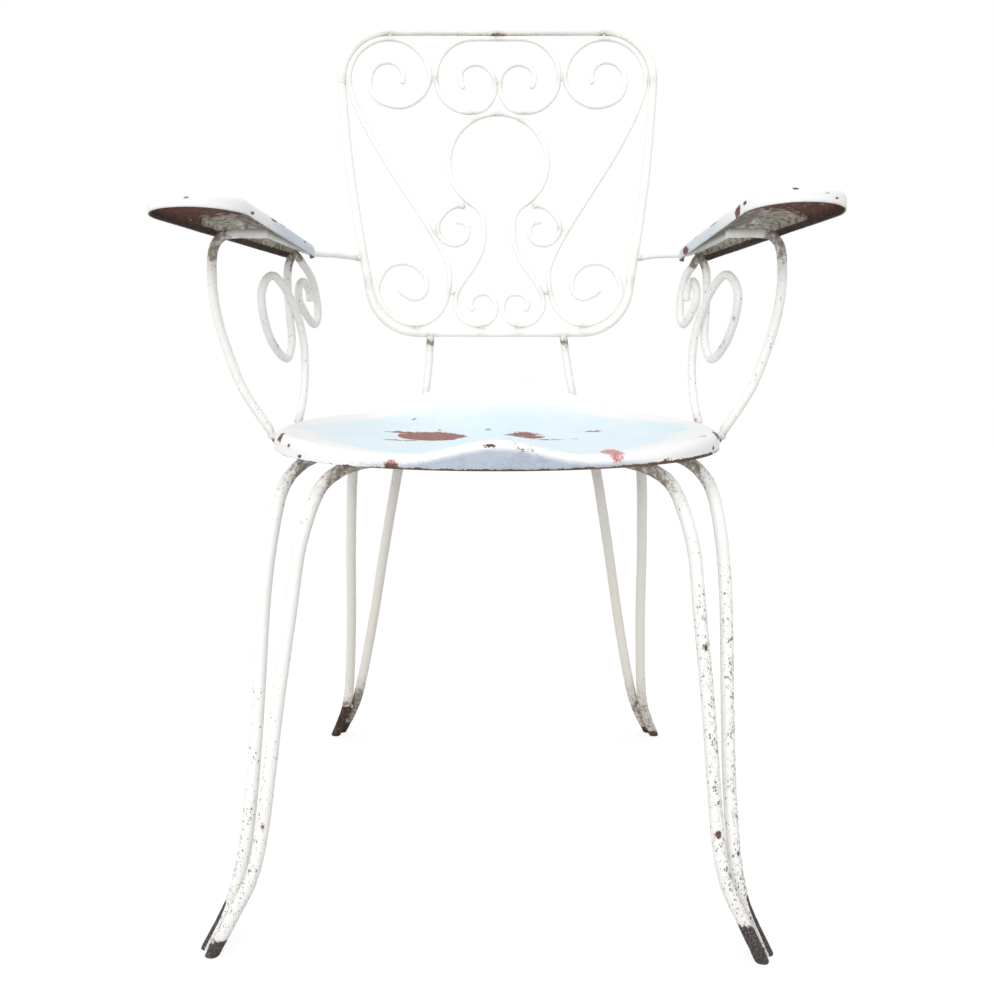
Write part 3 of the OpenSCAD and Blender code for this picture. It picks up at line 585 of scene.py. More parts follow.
def wear_leg(node, fields, points, normals, outward):
    """Dirt with painted shade and pits under the seat, pits low down, and the foot's lost paint: on an outer
    front rod only the side that faces away from the inner rod has lost it."""
    z, below = points[..., 2], np.clip(-normals[..., 2], 0, 1)
    end, place_ = node.split("_leg_")
    fields["grime"] *= np.where(z < 60, 0.5, 1)
    # Dirt and painted shade where the rod runs under the seat.
    fields["grime"] += 1.1 * ease(372, 418, z) * ease(1.5, 0.1, normals[..., 2])
    if end == "front":
        low = 0.85 * ease(330, 60, z) if "left" in place_ else ease(375, 270, z)
        tip, sharp = FRONT_TIPS[place_] - z, 0.28
        if "outer" in place_:
            tip = tip - 60 * ease(0.35, -0.2, outward + 0.25 * normals[..., 1])
        fields["rust"] *= ease(20, 120, z)
        fields["pits"] += 0.66 * low * (0.7 + 0.3 * outward) + 0.35 * ease(350, 400, z)
        # Painted shade on the undersides near the seat, and soil near the floor.
        fields["grime"] += 0.7 * ease(335, 405, z) * below + 0.15 * ease(120, 20, z)
    else:
        dark, sharp, pits, darkening = REAR_FEET[place_]
        tip = dark - z
        above = ease(66, 50, z) if place_ == "left_outer" else 1
        fields["rust"] = 0.19 + 0.1 * noise(points, 8, 9)
        fields["pits"] += pits * ease(105, 55, z) + 0.25 * ease(330, 420, z)
        fields["tint"] += 0.5 + 0.5 * ease(330, 200, z)
        # Soil at the foot, and dirt with painted shade under the seat.
        fields["grime"] += darkening * ease(100, 45, z) * above + 0.45 * ease(320, 420, z)
    fields["bare"] = np.maximum(fields["bare"], sharp * tip)


def wear_arm(node, fields, points, normals, outward):
    """Dirt under the pads, painted shade on the rails' undersides and on the inner sides of the scrolls, and
    dirt with painted shade at the foot of a support.
    """
    x, depth, up = points[..., 0], points[..., 1], points[..., 2] - SEAT_HEIGHT
    below = np.clip(-normals[..., 2], 0, 1)
    if "rail" in node:
        # Painted shade on the rail's underside, under the pad.
        fields["grime"] += 0.25 * ease(345, 320, depth) * below
    elif "scroll" in node:
        arch = ease(138, 165, up) * ease(290, 310, depth) * ease(330, 322, depth)
        # Dirt under the pad's arch, and painted shade on the scroll's inner side.
        fields["grime"] += 0.95 * arch + 0.12 * ease(318, 345, depth) + 0.35 * ease(-0.3, -1, outward)
        fields["pits"] += 0.12
    else:
        hook = ease(135, 175, up) * ease(SEAT_SIDE + 24, SEAT_SIDE + 36, np.abs(x))
        # Dirt on the hook under the pad; at the support's foot, dirt with painted shade that is stronger on the
        # underside.
        fields["grime"] += hook + 0.3 * ease(60, 0, up) * (0.4 + 0.6 * below)
        fields["rust"] += 0.5 * ease(169, 181, up)
        fields["pits"] += 0.10


def wear_back(node, fields, points, normals, outward):
    """Dirt on the posts, with painted shade where they go behind the seat, and darker in the seam under the top
    rail; the rest has yellowed.
    """
    x, z = points[..., 0], points[..., 2]
    if "post" in node:
        # Dirt all over, darker just under the rail, and painted shade where the post goes behind the seat.
        fields["grime"] += 0.2 + 0.5 * ease(500, 520, z) + 0.5 * ease(SEAT_HEIGHT + 40, SEAT_HEIGHT, z)
        return
    facing = np.where(node == "back_frame", -1.0, 1.0) * normals[..., 2]
    # Darker in the seam under the top rail.
    seam = ease(RAIL_Z + 336, RAIL_Z + 344, z) * ease(0.3, 0.9, facing) * ease(150, 70, np.abs(x))
    fields["grime"] += 0.55 * seam - 0.05
    fields["tint"] += 0.35


def rod_fields(node, points, normals):
    """The wear of a rod: lost paint, tone of what shows there, pits, dirt round the welds, painted shade on its
    underside, and yellowing.
    """
    below, flat = np.clip(-normals[..., 2], 0, 1), np.zeros(points.shape[:-1])
    wear = wear_leg if "_leg_" in node else wear_arm if node.startswith("arm_") else wear_back
    corners = [weld for welds in WELDS.values() for weld in welds]
    fields = {"bare": bare_field(node, points), "pits": flat + 0.14, "tint": flat,
              "rust": 0.15 + 0.35 * nearness(points, WELDS["arms"] + WELDS["back"], 12.0),
              # Painted shade on the underside, and dirt round the welds.
              "grime": ((0.10 if wear is wear_back else 0.28) * below
                        + 0.7 * nearness(points, corners, 9.0) + 0.05)}
    wear(node, fields, points, normals, (RIGHT if "right" in node else LEFT) * normals[..., 0])
    fields["grime"] = np.clip(fields["grime"], 0, 1)
    return fields


# ---- meshes ----

def chair():
    """The chair's own settings in this file."""
    return bpy.context.scene.garden_chair_finish, bpy.context.scene.garden_chair_shape


def skin(name, rings, fields, closed=False):
    """A closed mesh over a stack of rings of equally many points.  Each open end closes on a
    pole in the middle of its ring.  The fields become attributes of the points."""
    rows, cols = rings.shape[:2]
    points = rings.reshape(-1, 3)
    row = np.arange(rows if closed else rows - 1)[:, None]
    col = np.arange(cols)[None, :]
    here, above, turn = row * cols, (row + 1) % rows * cols, (col + 1) % cols
    quads = np.stack([here + col, here + turn, above + turn, above + col], -1).reshape(-1, 4)
    poles = np.zeros((0, 3), int)
    if not closed:
        points = np.vstack([points, rings[0].mean(0), rings[-1].mean(0)])
        k, n = np.arange(cols), (np.arange(cols) + 1) % cols
        first, last = rows * cols, rows * cols + 1
        poles = np.vstack([np.stack([n, k, np.full(cols, first)], 1),
                           np.stack([k + (rows - 1) * cols, n + (rows - 1) * cols, np.full(cols, last)], 1)])
    triangles = np.vstack([quads[:, [0, 1, 2]], quads[:, [0, 2, 3]], poles])
    a, b, c = (points[triangles[:, i]] - points.mean(0) for i in range(3))
    if np.einsum("ij,ij->", a, np.cross(b, c)) < 0:
        quads, poles = quads[:, ::-1], poles[:, ::-1]
    mesh = bpy.data.meshes.new(name)
    corners = np.concatenate([quads.ravel(), poles.ravel()])
    sizes = np.concatenate([np.full(len(quads), 4), np.full(len(poles), 3)])
    mesh.vertices.add(len(points))
    mesh.vertices.foreach_set("co", ((points - [0, MIDDLE, 0]) * MM).astype(np.float32).ravel())
    mesh.loops.add(len(corners))
    mesh.loops.foreach_set("vertex_index", corners.astype(np.int32))
    mesh.polygons.add(len(sizes))
    mesh.polygons.foreach_set("loop_start", np.concatenate([[0], np.cumsum(sizes)[:-1]]).astype(np.int32))
    mesh.update(calc_edges=True)
    mesh.polygons.foreach_set("use_smooth", np.ones(len(sizes), bool))
    for key, values in fields.items():
        flat = values.reshape(rows, cols)
        if not closed:
            flat = np.concatenate([flat.ravel(), [flat[0].mean(), flat[-1].mean()]])
        mesh.attributes.new(key, "FLOAT", "POINT").data.foreach_set("value", flat.astype(np.float32).ravel())
    if mesh.validate():
        raise RuntimeError(f"{name}: the mesh has faults")
    return mesh


def place(name, mesh, material, slot, nodes=()):
    """Puts the mesh in the scene as a piece of the chair that stands for the given nodes."""
    piece = bpy.data.objects.new(name, mesh)
    bpy.context.scene.collection.objects.link(piece)
    mesh.materials.append(material)
    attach(piece, "root")
    if nodes:
        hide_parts(*nodes)
    for node in nodes:
        co = np.empty(len(mesh.vertices) * 3, np.float32)
        mesh.vertices.foreach_get("co", co)
        co = co.reshape(-1, 3)
        low, high = (np.array(corner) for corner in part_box(node))
        gap = max(np.abs(co.min(0) - low).max(), np.abs(co.max(0) - high).max())
        if gap > BOX_SLACK * MM:
            raise RuntimeError(f"{name} is {gap / MM:.1f} mm off the box of {node}")


def rod(node, line, diameter, side, slot, closed=False, first=None):
    """A round rod along a line, with lumpy paint, sunk chips and slightly rounded ends.
    Each ring has one direction square to the line and to `side`, and one square to both.
    `first` is an optional (normal, level) plane that cuts the rod's first end."""
    shape = chair()[1]
    radius = diameter / 2 * ROD_SHARE
    line, along, total = paced(np.asarray(line, float), shape.pitch / MM, radius, closed)
    if closed:
        ahead = np.roll(line, -1, 0) - np.roll(line, 1, 0)
    else:
        ahead = np.gradient(line, axis=0)
    t = unit(ahead)
    u = unit(np.cross(side, t))
    v = np.cross(t, u)
    sides = max(16, int(diameter * 2.2))
    a = np.arange(sides) * 2 * math.pi / sides
    out = np.cos(a)[None, :, None] * u[:, None] + np.sin(a)[None, :, None] * v[:, None]
    rough = line[:, None] + out * radius
    fields = rod_fields(node, rough, out)
    dip = shape.lumps / MM * (noise(rough, 7.0, 1) + 0.7 * noise(rough, 2.6, 2))
    dip += shape.chip_depth / MM * ease(-0.5, 0.5, fields["bare"])
    dip += 0.45 * fields["pits"] * ease(0.55, 0.8, noise(rough, 3.0, 3))
    size = radius - dip
    if not closed:
        edge = np.minimum(along, total - along) / radius
        if first is not None:
            edge = np.where(along < total / 2, edge + 0.35, edge)
        size = size * np.sqrt(1 - 0.75 * np.clip(1 - edge / 0.45, 0, 1) ** 2)[:, None]
    rings = line[:, None] + out * size[..., None]
    if first is not None:
        normal, level = np.array(first[0], float), first[1]
        shift = (level - rings[0] @ normal) / (t[0] @ normal)
        fade = np.clip(1 - along / (2 * diameter), 0, 1)
        rings = rings + t[:, None] * (fade[:, None] * shift)[..., None]
    mesh = skin(node, rings, fields, closed)
    place("painted_" + node, mesh, paint_material(slot), slot, [node])


def outline(a):
    """The seat's outline: an oval whose corners are fuller at the rear than in front."""
    front = np.sin(a) < 0
    power = 2 / np.where(front, FRONT_POWER, REAR_POWER)
    half = np.where(front, SEAT_MIDDLE - SEAT_FRONT, SEAT_FRONT + SEAT_DEPTH - SEAT_MIDDLE)
    return np.stack([SEAT_WIDTH / 2 * np.abs(np.cos(a)) ** power * np.sign(np.cos(a)),
                     half * np.abs(np.sin(a)) ** power * np.sign(np.sin(a))], -1)


def seat_rings():
    """Rings of the pan from the middle of its underside out, round the skirt and the rolled
    rim, and in to the middle of its top, with 1 on the top's rings and each point's height
    below the crest and above the skirt's edge."""
    columns = 384
    fine = np.linspace(0, 2 * np.pi, 8192)
    line = outline(fine)
    along = np.concatenate([[0], np.cumsum(np.linalg.norm(np.diff(line, axis=0), axis=1))])
    p = outline(np.interp(np.linspace(0, along[-1], columns, endpoint=False), along, fine))
    reach = np.linalg.norm(p, axis=1)
    front = p[:, 1] < 0
    lip = np.where(front, 0, LIP_RISE * bell(p[:, 0], LIP_WIDTH) ** 0.7)
    crest = SEAT_HEIGHT + lip + np.where(
        front, POMMEL_RISE * bell(p[:, 0], 85) - THIGH_DROP * ease(0, 90, 200 - np.abs(p[:, 0])), 0)
    edge = SEAT_HEIGHT - SKIRT + 0.95 * lip

    def ring(scale, z):
        q = p * scale[:, None]
        return np.stack([q[:, 0], SEAT_MIDDLE + q[:, 1], z], 1)

    def pan(f, deep):
        z = mix(SEAT_HEIGHT - HOLLOW, crest, f ** 2.6) - deep
        z = z + np.where(front, 7 * bell(p[:, 0] * f, 60) * ease(0, 1, f * 2) * (1 - f ** 4), 0)
        return ring((1 - RIM_ROLL / reach) * f, z)

    def roll(turn, deep):
        r = RIM_ROLL - deep
        return ring(1 - (RIM_ROLL - r * math.sin(turn)) / reach, crest - RIM_ROLL + r * math.cos(turn))

    def wall(t, deep):
        return ring(1 - deep / reach, mix(crest - RIM_ROLL, edge, t))

    def side(deep, fs, turns, walls):
        return ([pan(f, deep) for f in fs] + [roll(turn, deep) for turn in turns]
                + [wall(t, deep) for t in walls])

    under = side(SHEET, np.linspace(0.03, 0.99, 40), np.linspace(0, np.pi / 2, 6), np.linspace(0.1, 1, 6))
    over = side(0.0, np.linspace(0.02, 0.99, 84), np.linspace(0, np.pi / 2, 12), np.linspace(0.08, 1, 10))
    rings = np.array(under + over[::-1])
    top = np.concatenate([np.zeros(len(under)), np.ones(len(over))])[:, None] * np.ones(columns)
    return rings, top, crest - rings[..., 2], rings[..., 2] - edge


def pad_loop(inset, factor, height, side):
    """A loop round two circles, the pad's round front and its narrower round rear, and along
    the two straight lines that touch both: a share t of the way from the front circle to the
    rear one mixes their centres and radii."""
    front, rear = (PAD_FRONT / 2 - inset) * factor, (PAD_REAR / 2 - inset) * factor
    run = np.array([PAD_FRONT_X - PAD_REAR_X, PAD_REAR_DEPTH - PAD_FRONT_DEPTH])
    spread = math.asin((front - rear) / np.linalg.norm(run))
    lean = math.atan2(run[0], run[1])
    a0, a1 = lean + math.pi - spread, lean + 2 * math.pi + spread
    b1 = lean + math.pi - spread + 2 * math.pi
    n_front, n_rear, n_side = 96, 44, 80
    angle = np.concatenate([np.linspace(a0, a1, n_front, endpoint=False), np.full(n_side, a1),
                            np.linspace(a1, b1, n_rear, endpoint=False), np.full(n_side, b1)])
    t = np.concatenate([np.zeros(n_front), np.linspace(0, 1, n_side, endpoint=False), np.ones(n_rear),
                        np.linspace(1, 0, n_side, endpoint=False)])
    radius = mix(front, rear, t)
    x = mix(PAD_FRONT_X, PAD_REAR_X, t) + radius * np.cos(angle)
    depth = mix(PAD_FRONT_DEPTH, PAD_REAR_DEPTH, t) + radius * np.sin(angle)
    return np.stack([side * x, depth, pad_z(depth, side) + height], 1)


def pad_rings(side):
    """Rings of a pad from the middle of its underside out and down the flange's inside,
    then up its outside, over the shoulder and in to the middle of its crowned top."""
    shoulder, crown = 8.0, 2.5

    def face(deep, fs, turns, walls):
        rings = [pad_loop(shoulder, f, PAD_FLANGE - deep + crown * (1 - f * f), side) for f in fs]
        r = shoulder - deep
        rings += [pad_loop(shoulder - r * math.sin(turn), 1, PAD_FLANGE - shoulder + r * math.cos(turn), side)
                  for turn in turns]
        return rings + [pad_loop(deep, 1, (PAD_FLANGE - shoulder) * (1 - t), side) for t in walls]

    inner = face(SHEET, np.linspace(0.04, 0.97, 16), np.linspace(0, np.pi / 2, 6), np.linspace(0.15, 1, 6))
    outer = face(0.0, np.linspace(0.03, 0.98, 26), np.linspace(0, np.pi / 2, 10), np.linspace(0.12, 1, 9))
    rings = np.array(inner + outer[::-1])
    # The flange is cut up at the rear, where the rail runs out.
    slot_top = RAIL_IN_PAD + RAIL_ROD / 2 + 3 * WELD_GAP
    lift = rings[..., 2] - pad_z(rings[..., 1], side)
    away = np.abs(rings[..., 0] - side * RAIL_OUT_X)
    notch = ease(7.0, 5.0, away) * (rings[..., 1] > PAD_REAR_DEPTH + 5)
    rings[..., 2] += notch * np.clip(slot_top - lift, 0, None)
    top = np.concatenate([np.zeros(len(inner)), np.ones(len(outer))])[:, None] * np.ones(rings.shape[1])
    return rings, top


def bead_rings(place_, size, seed):
    """A weld bead: an ellipsoid whose radius is varied by noise."""
    turn = np.linspace(0.12, np.pi - 0.12, 10)[:, None]
    a = np.linspace(0, 2 * np.pi, 16, endpoint=False)[None, :]
    ball = np.stack([np.sin(turn) * np.cos(a), np.sin(turn) * np.sin(a), np.cos(turn) + 0 * a], -1)
    lumpy = 0.75 + 0.45 * noise(ball * 4 + seed * 7.0, 2.0, seed)
    return place_ + ball * lumpy[..., None] * size


# ---- shader groups ----

class Wiring:
    """Adds nodes to a tree and joins them up."""

    def __init__(self, tree):
        self.tree = tree

    def add(self, kind, inputs=None, **settings):
        node = self.tree.nodes.new(kind)
        for key, value in settings.items():
            setattr(node, key, value)
        for key, value in (inputs or {}).items():
            self.feed(node.inputs[key], value)
        return node

    def feed(self, socket, value):
        if isinstance(value, bpy.types.NodeSocket):
            self.tree.links.new(value, socket)
        elif isinstance(value, (tuple, list)) and len(value) == 3 and socket.type == "RGBA":
            socket.default_value = (*value, 1.0)
        else:
            socket.default_value = value

    def math(self, operation, *values, clamp=False):
        node = self.add("ShaderNodeMath", operation=operation, use_clamp=clamp)
        for socket, value in zip(node.inputs, values):
            self.feed(socket, value)
        return node.outputs[0]

    def times(self, a, b, clamp=False):
        return self.math("MULTIPLY", a, b, clamp=clamp)

    def plus(self, a, b):
        return self.math("ADD", a, b)

    def minus(self, a, b):
        return self.math("SUBTRACT", a, b)

    def fit(self, value, low, high, to_low=0.0, to_high=1.0):
        """A smooth step from to_low to to_high while the value goes from low to high."""
        node = self.add("ShaderNodeMapRange", {0: value, 1: low, 2: high, 3: to_low, 4: to_high},
                        interpolation_type="SMOOTHSTEP")
        return node.outputs[0]

    def mix(self, factor, a, b):
        node = self.add("ShaderNodeMix", data_type="RGBA")
        for index, value in ((0, factor), (6, a), (7, b)):
            self.feed(node.inputs[index], value)
        return node.outputs[2]

    def blend(self, factor, a, b):
        node = self.add("ShaderNodeMix", {0: factor, 2: a, 3: b}, data_type="FLOAT")
        return node.outputs[0]

    def stretch(self, vector, scale):
        node = self.add("ShaderNodeVectorMath", {0: vector, 1: scale}, operation="MULTIPLY")
        return node.outputs[0]

    def noise(self, vector, size, detail=3.0, rough=0.55):
        """Noise from 0 to 1 whose features are about `size` millimetres."""
        node = self.add("ShaderNodeTexNoise", {"Vector": vector, "Scale": 1 / (size * MM), "Detail": detail,
                                               "Roughness": rough})
        return node.outputs["Fac"]

    def cells(self, vector, size, feature="F1"):
        node = self.add("ShaderNodeTexVoronoi", {"Vector": vector, "Scale": 1 / (size * MM)}, feature=feature)
        return node.outputs

    def warped(self, vector, size, amount):
        """The vector pushed about by coloured noise, by up to `amount` millimetres."""
        push = self.add("ShaderNodeTexNoise", {"Vector": vector, "Scale": 1 / (size * MM), "Detail": 2.0})
        centred = self.add("ShaderNodeVectorMath", {0: push.outputs["Color"], 1: (0.5, 0.5, 0.5)},
                           operation="SUBTRACT").outputs[0]
        return self.add("ShaderNodeVectorMath", {0: centred, 1: (2 * amount * MM,) * 3, 2: vector},
                        operation="MULTIPLY_ADD").outputs[0]

    def seen_straight(self):
        """1 for a camera, glossy or transmission ray, and 0 for every other ray."""
        rays = self.add("ShaderNodeLightPath").outputs
        return self.math("MAXIMUM", rays["Is Camera Ray"],
                         self.math("MAXIMUM", rays["Is Glossy Ray"], rays["Is Transmission Ray"]))

    def finish(self, kind, shader):
        """Leads the shader to the output node of its kind."""
        self.feed(self.add(kind).inputs[0], shader.outputs[0])


def fresh_wiring(owner):
    """Wiring in the emptied node tree of a material or a world."""
    owner.use_nodes = True
    owner.node_tree.nodes.clear()
    return Wiring(owner.node_tree)


def group(name, inputs, outputs, fill):
    """A shader node group, built once: fill(wiring, sockets) returns the outputs by name."""
    tree = bpy.data.node_groups.get(name)
    if tree:
        return tree
    tree = bpy.data.node_groups.new(name, "ShaderNodeTree")
    for way, sockets in (("INPUT", inputs), ("OUTPUT", outputs)):
        for label, kind in sockets.items():
            tree.interface.new_socket(label, in_out=way, socket_type="NodeSocket" + kind)
    wiring = Wiring(tree)
    sockets = wiring.add("NodeGroupInput").outputs
    end = wiring.add("NodeGroupOutput")
    for label, value in fill(wiring, sockets).items():
        wiring.feed(end.inputs[label], value)
    return tree


AMOUNT = {"Place": "Vector", "Amount": "Float"}
SURFACE = {"Colour": "Color", "Roughness": "Float", "Height": "Float"}


def coat_group():
    """Brushed paint: clouds and streaks between a fresh and an aged colour."""
    def fill(w, s):
        clouds = w.noise(s["Place"], 60, 3)
        blotches = w.noise(s["Place"], 9, 4, 0.6)
        streaks = w.noise(w.stretch(s["Place"], s["Streak"]), 3, 3)
        aged = w.plus(w.fit(clouds, 0.35, 0.75, 0, 0.45), w.fit(blotches, 0.5, 0.8, 0, 0.4))
        aged = w.times(w.plus(aged, w.fit(streaks, 0.5, 0.8, 0, 0.25)), s["Age"])
        height = w.plus(w.times(streaks, 0.10), w.times(blotches, 0.16))
        return {"Colour": w.mix(aged, s["Fresh"], s["Aged"]), "Height": height,
                "Roughness": w.fit(blotches, 0.3, 0.7, 0.34, 0.52)}
    return group("brushed coat", {"Place": "Vector", "Streak": "Vector", "Fresh": "Color",
                                  "Aged": "Color", "Age": "Float"}, SURFACE, fill)


def flake_group():
    """Lost paint: the field of distances made ragged, cut to a mask and a dark rim."""
    def fill(w, s):
        coarse = w.minus(w.noise(s["Place"], 7, 3, 0.6), 0.5)
        fine = w.minus(w.noise(s["Place"], 1.6, 3, 0.6), 0.5)
        ragged = w.math("MULTIPLY_ADD", coarse, w.times(s["Ragged"], 2.0), s["Field"])
        ragged = w.math("MULTIPLY_ADD", fine, s["Ragged"], ragged)
        bare = w.fit(ragged, -0.15, 0.2)
        rim = w.times(w.fit(ragged, -1.1, -0.15), w.minus(1.0, bare))
        return {"Bare": bare, "Rim": rim, "Height": w.times(bare, -0.3)}
    return group("flaked paint", {"Place": "Vector", "Field": "Float", "Ragged": "Float"},
                 {"Bare": "Float", "Rim": "Float", "Height": "Float"}, fill)


def pit_group():
    """Dark specks: cells of random strength, each a warped dot that the amount makes larger."""
    def fill(w, s):
        place_ = w.warped(w.stretch(s["Place"], (1, 1, 0.6)), 1.6, 0.7)
        masks = []
        for size, grow in ((2.1, 0.90), (1.2, 0.75)):
            cell = w.cells(place_, size)
            chance = w.add("ShaderNodeSeparateColor", {0: cell["Color"]}).outputs[0]
            reach = w.times(w.minus(w.plus(chance, s["Amount"]), 0.86), grow)
            masks.append(w.fit(w.minus(reach, cell["Distance"]), -0.05, 0.06))
        sparse = w.fit(s["Amount"], 0.3, 0.8, 0.10, 0.6)
        patchy = w.fit(w.noise(s["Place"], 13, 3), 0.40, 0.58, sparse, 1)
        specks = w.times(w.math("MAXIMUM", *masks), patchy)
        specks = w.times(specks, w.fit(s["Amount"], 0.02, 0.2))
        return {"Specks": specks, "Height": w.times(specks, -0.35)}
    return group("pits", AMOUNT, {"Specks": "Float", "Height": "Float"}, fill)


def metal_group():
    """What lost paint uncovers: black steel, brown rust or reddish primer, by tone."""
    def fill(w, s):
        coarse = w.noise(s["Place"], 5, 5, 0.65)
        fine = w.noise(s["Place"], 1.2, 3, 0.6)
        brown = w.mix(w.fit(coarse, 0.35, 0.65), s["Rust"], w.mix(0.55, s["Rust"], s["Dark"]))
        brown = w.mix(w.fit(fine, 0.56, 0.75, 0, 0.45), brown, (0.33, 0.17, 0.10))
        red = w.mix(w.fit(fine, 0.45, 0.62), s["Primer"], (0.80, 0.55, 0.56))
        worn = w.mix(w.fit(fine, 0.50, 0.70, 0, 0.6), s["Dark"], (0.40, 0.37, 0.35))
        colour_ = w.mix(w.fit(s["Tone"], 0.0, 0.28), worn, brown)
        colour_ = w.mix(w.fit(s["Tone"], 0.72, 0.95), colour_, red)
        return {"Colour": colour_, "Roughness": w.fit(coarse, 0.3, 0.7, 0.62, 0.88),
                "Height": w.plus(w.times(fine, 0.18), w.times(coarse, 0.2))}
    return group("bare metal", {"Place": "Vector", "Tone": "Float", "Dark": "Color",
                                "Rust": "Color", "Primer": "Color"}, SURFACE, fill)


def dirt_and_shade_group():
    """Dirt and painted shade: the amount broken up by noise, with a softer film round it."""
    def fill(w, s):
        rough = w.noise(s["Place"], 5, 5, 0.65)
        film = w.times(s["Amount"], w.fit(rough, 0.25, 0.7, 0.35, 0.85))
        crust = w.fit(w.plus(s["Amount"], w.times(w.minus(rough, 0.5), 1.8)), 0.52, 1.12)
        return {"Mask": w.math("MAXIMUM", w.times(film, 0.62), w.times(crust, 0.95), clamp=True)}
    return group("grime", AMOUNT, {"Mask": "Float"}, fill)


def craze_group():
    """Hair cracks: edges of cells that are drawn out sideways."""
    def fill(w, s):
        place_ = w.warped(w.stretch(s["Place"], (0.16, 0.5, 1)), 2, 0.6)
        lines = w.fit(w.cells(place_, 1.5, "DISTANCE_TO_EDGE")["Distance"], 0.02, 0.13, 1, 0)
        fine = w.fit(w.noise(w.stretch(s["Place"], (0.10, 0.5, 1.2)), 1.1, 4, 0.7), 0.50, 0.60)
        patchy = w.fit(w.noise(s["Place"], 11, 3), 0.40, 0.60, 0.35, 1)
        mask = w.times(w.math("MAXIMUM", lines, w.times(fine, 0.7)), patchy)
        mask = w.times(mask, s["Amount"])
        return {"Mask": mask, "Height": w.times(mask, -0.12)}
    return group("hair cracks", AMOUNT, {"Mask": "Float", "Height": "Float"}, fill)


# Per slot: its paint, how the coat streaks, how aged it is and how ragged its chips are.
COATS = {
    "rod_paint": {"fresh": "rod_paint", "streak": (1, 1, 0.15), "age": 0.26, "ragged": 1.6},
    "arm_paint": {"fresh": "back_paint", "streak": (1, 1, 0.3), "age": 0.16, "ragged": 1.2},
    "back_paint": {"fresh": "back_paint", "streak": (1, 1, 1), "age": 0.12, "ragged": 1.2},
    "seat_paint": {"fresh": "rim_paint", "streak": (0.25, 1, 1), "age": 0.10, "ragged": 5.0},
    "pad_paint": {"fresh": "rim_paint", "streak": (1, 0.3, 1), "age": 0.16, "ragged": 3.6},
}


RIM_STAIN, HAIR_CRACK, PIT_SPECK = (0.42, 0.33, 0.30), (0.33, 0.36, 0.44), (0.17, 0.14, 0.115)
FOOT_SOIL = (0.030, 0.018, 0.010)


def paint_material(slot):
    """The old paint of one slot, over whatever shows where it is lost."""
    name = "old_" + slot
    material = bpy.data.materials.get(name)
    if material:
        return material
    finish, coat = chair()[0], COATS[slot]
    material = bpy.data.materials.new(name)
    w = fresh_wiring(material)

    def effect(node_group, **inputs):
        node = w.add("ShaderNodeGroup", node_tree=node_group)
        for key, value in inputs.items():
            w.feed(node.inputs[key], value)
        return node.outputs

    def field(name_):
        return w.add("ShaderNodeAttribute", attribute_name=name_).outputs["Fac"]

    def paint(key):
        return tuple(getattr(finish, key))

    place_ = w.add("ShaderNodeTexCoord").outputs["Object"]
    coat_out = effect(coat_group(), Place=place_, Streak=coat["streak"], Age=coat["age"],
                      Fresh=paint(coat["fresh"]), Aged=paint("aged_paint"))
    colour_, roughness = coat_out["Colour"], coat_out["Roughness"]
    if slot == "seat_paint":
        # The front skirt takes the blue-grey painted shade.
        colour_ = w.mix(field("skirt"), colour_, paint("painted_blue_shade"))
        tint = w.times(field("tint"), w.fit(w.noise(place_, 45, 3), 0.3, 0.6, 0.7, 1.0))
        colour_ = w.mix(tint, colour_, paint("seat_paint"))
    # On a pad, the top's inner side takes the blue-grey painted shade, and the underside the aged paint.
    elif slot == "pad_paint":
        for share_, key in ((0.8, "painted_blue_shade"), (-1.0, "aged_paint")):
            colour_ = w.mix(w.times(field("tint"), share_, clamp=True), colour_, paint(key))
    else:
        colour_ = w.mix(w.times(field("tint"), 0.55), colour_, paint("cream_paint"))
    # Darkening mask: dirt, and painted shade under rods, under the pads and along the seat's rim.
    darkening = effect(dirt_and_shade_group(), Place=place_, Amount=field("grime"))["Mask"]
    colour_ = w.mix(w.times(darkening, finish.darkening), colour_, paint("grime"))
    cracks = effect(craze_group(), Place=place_, Amount=field("craze"))
    colour_ = w.mix(w.times(cracks["Mask"], 0.55), colour_, HAIR_CRACK)
    flakes = effect(flake_group(), Place=place_, Field=field("bare"), Ragged=coat["ragged"])
    metal = effect(metal_group(), Place=place_, Tone=field("rust"), Dark=paint("dark_metal"),
                   Rust=paint("rust"), Primer=paint("primer"))
    pits = effect(pit_group(), Place=place_, Amount=w.times(field("pits"), finish.pitting))
    colour_ = w.mix(w.times(flakes["Rim"], 0.45), colour_, RIM_STAIN)
    colour_ = w.mix(w.times(pits["Specks"], 0.9), colour_, PIT_SPECK)
    # Bare metal darkens towards the soil colour under the same mask, so it takes the painted shade too.
    bare_darkening = w.times(darkening, 1.1 if slot == "rod_paint" else 0.0, clamp=True)
    colour_ = w.mix(flakes["Bare"], colour_, w.mix(bare_darkening, metal["Colour"], FOOT_SOIL))
    roughness = w.plus(roughness, w.times(darkening, 0.25))
    roughness = w.blend(flakes["Bare"], roughness, metal["Roughness"])
    height = w.plus(coat_out["Height"], w.plus(flakes["Height"], pits["Height"]))
    height = w.plus(height, cracks["Height"])
    height = w.math("MULTIPLY_ADD", metal["Height"], flakes["Bare"], height)
    bump = w.add("ShaderNodeBump", {"Height": height, "Distance": MM, "Strength": 0.7})
    shader = w.add("ShaderNodeBsdfPrincipled", {"Base Color": colour_, "Roughness": roughness,
                                                "Normal": bump.outputs[0], "Specular IOR Level": 0.35})
    w.finish("ShaderNodeOutputMaterial", shader)
    return material


# ---- operators ----

class Piece(bpy.types.Operator):
    bl_options = {"REGISTER", "UNDO"}

    def execute(self, context):
        self.build()
        return {"FINISHED"}


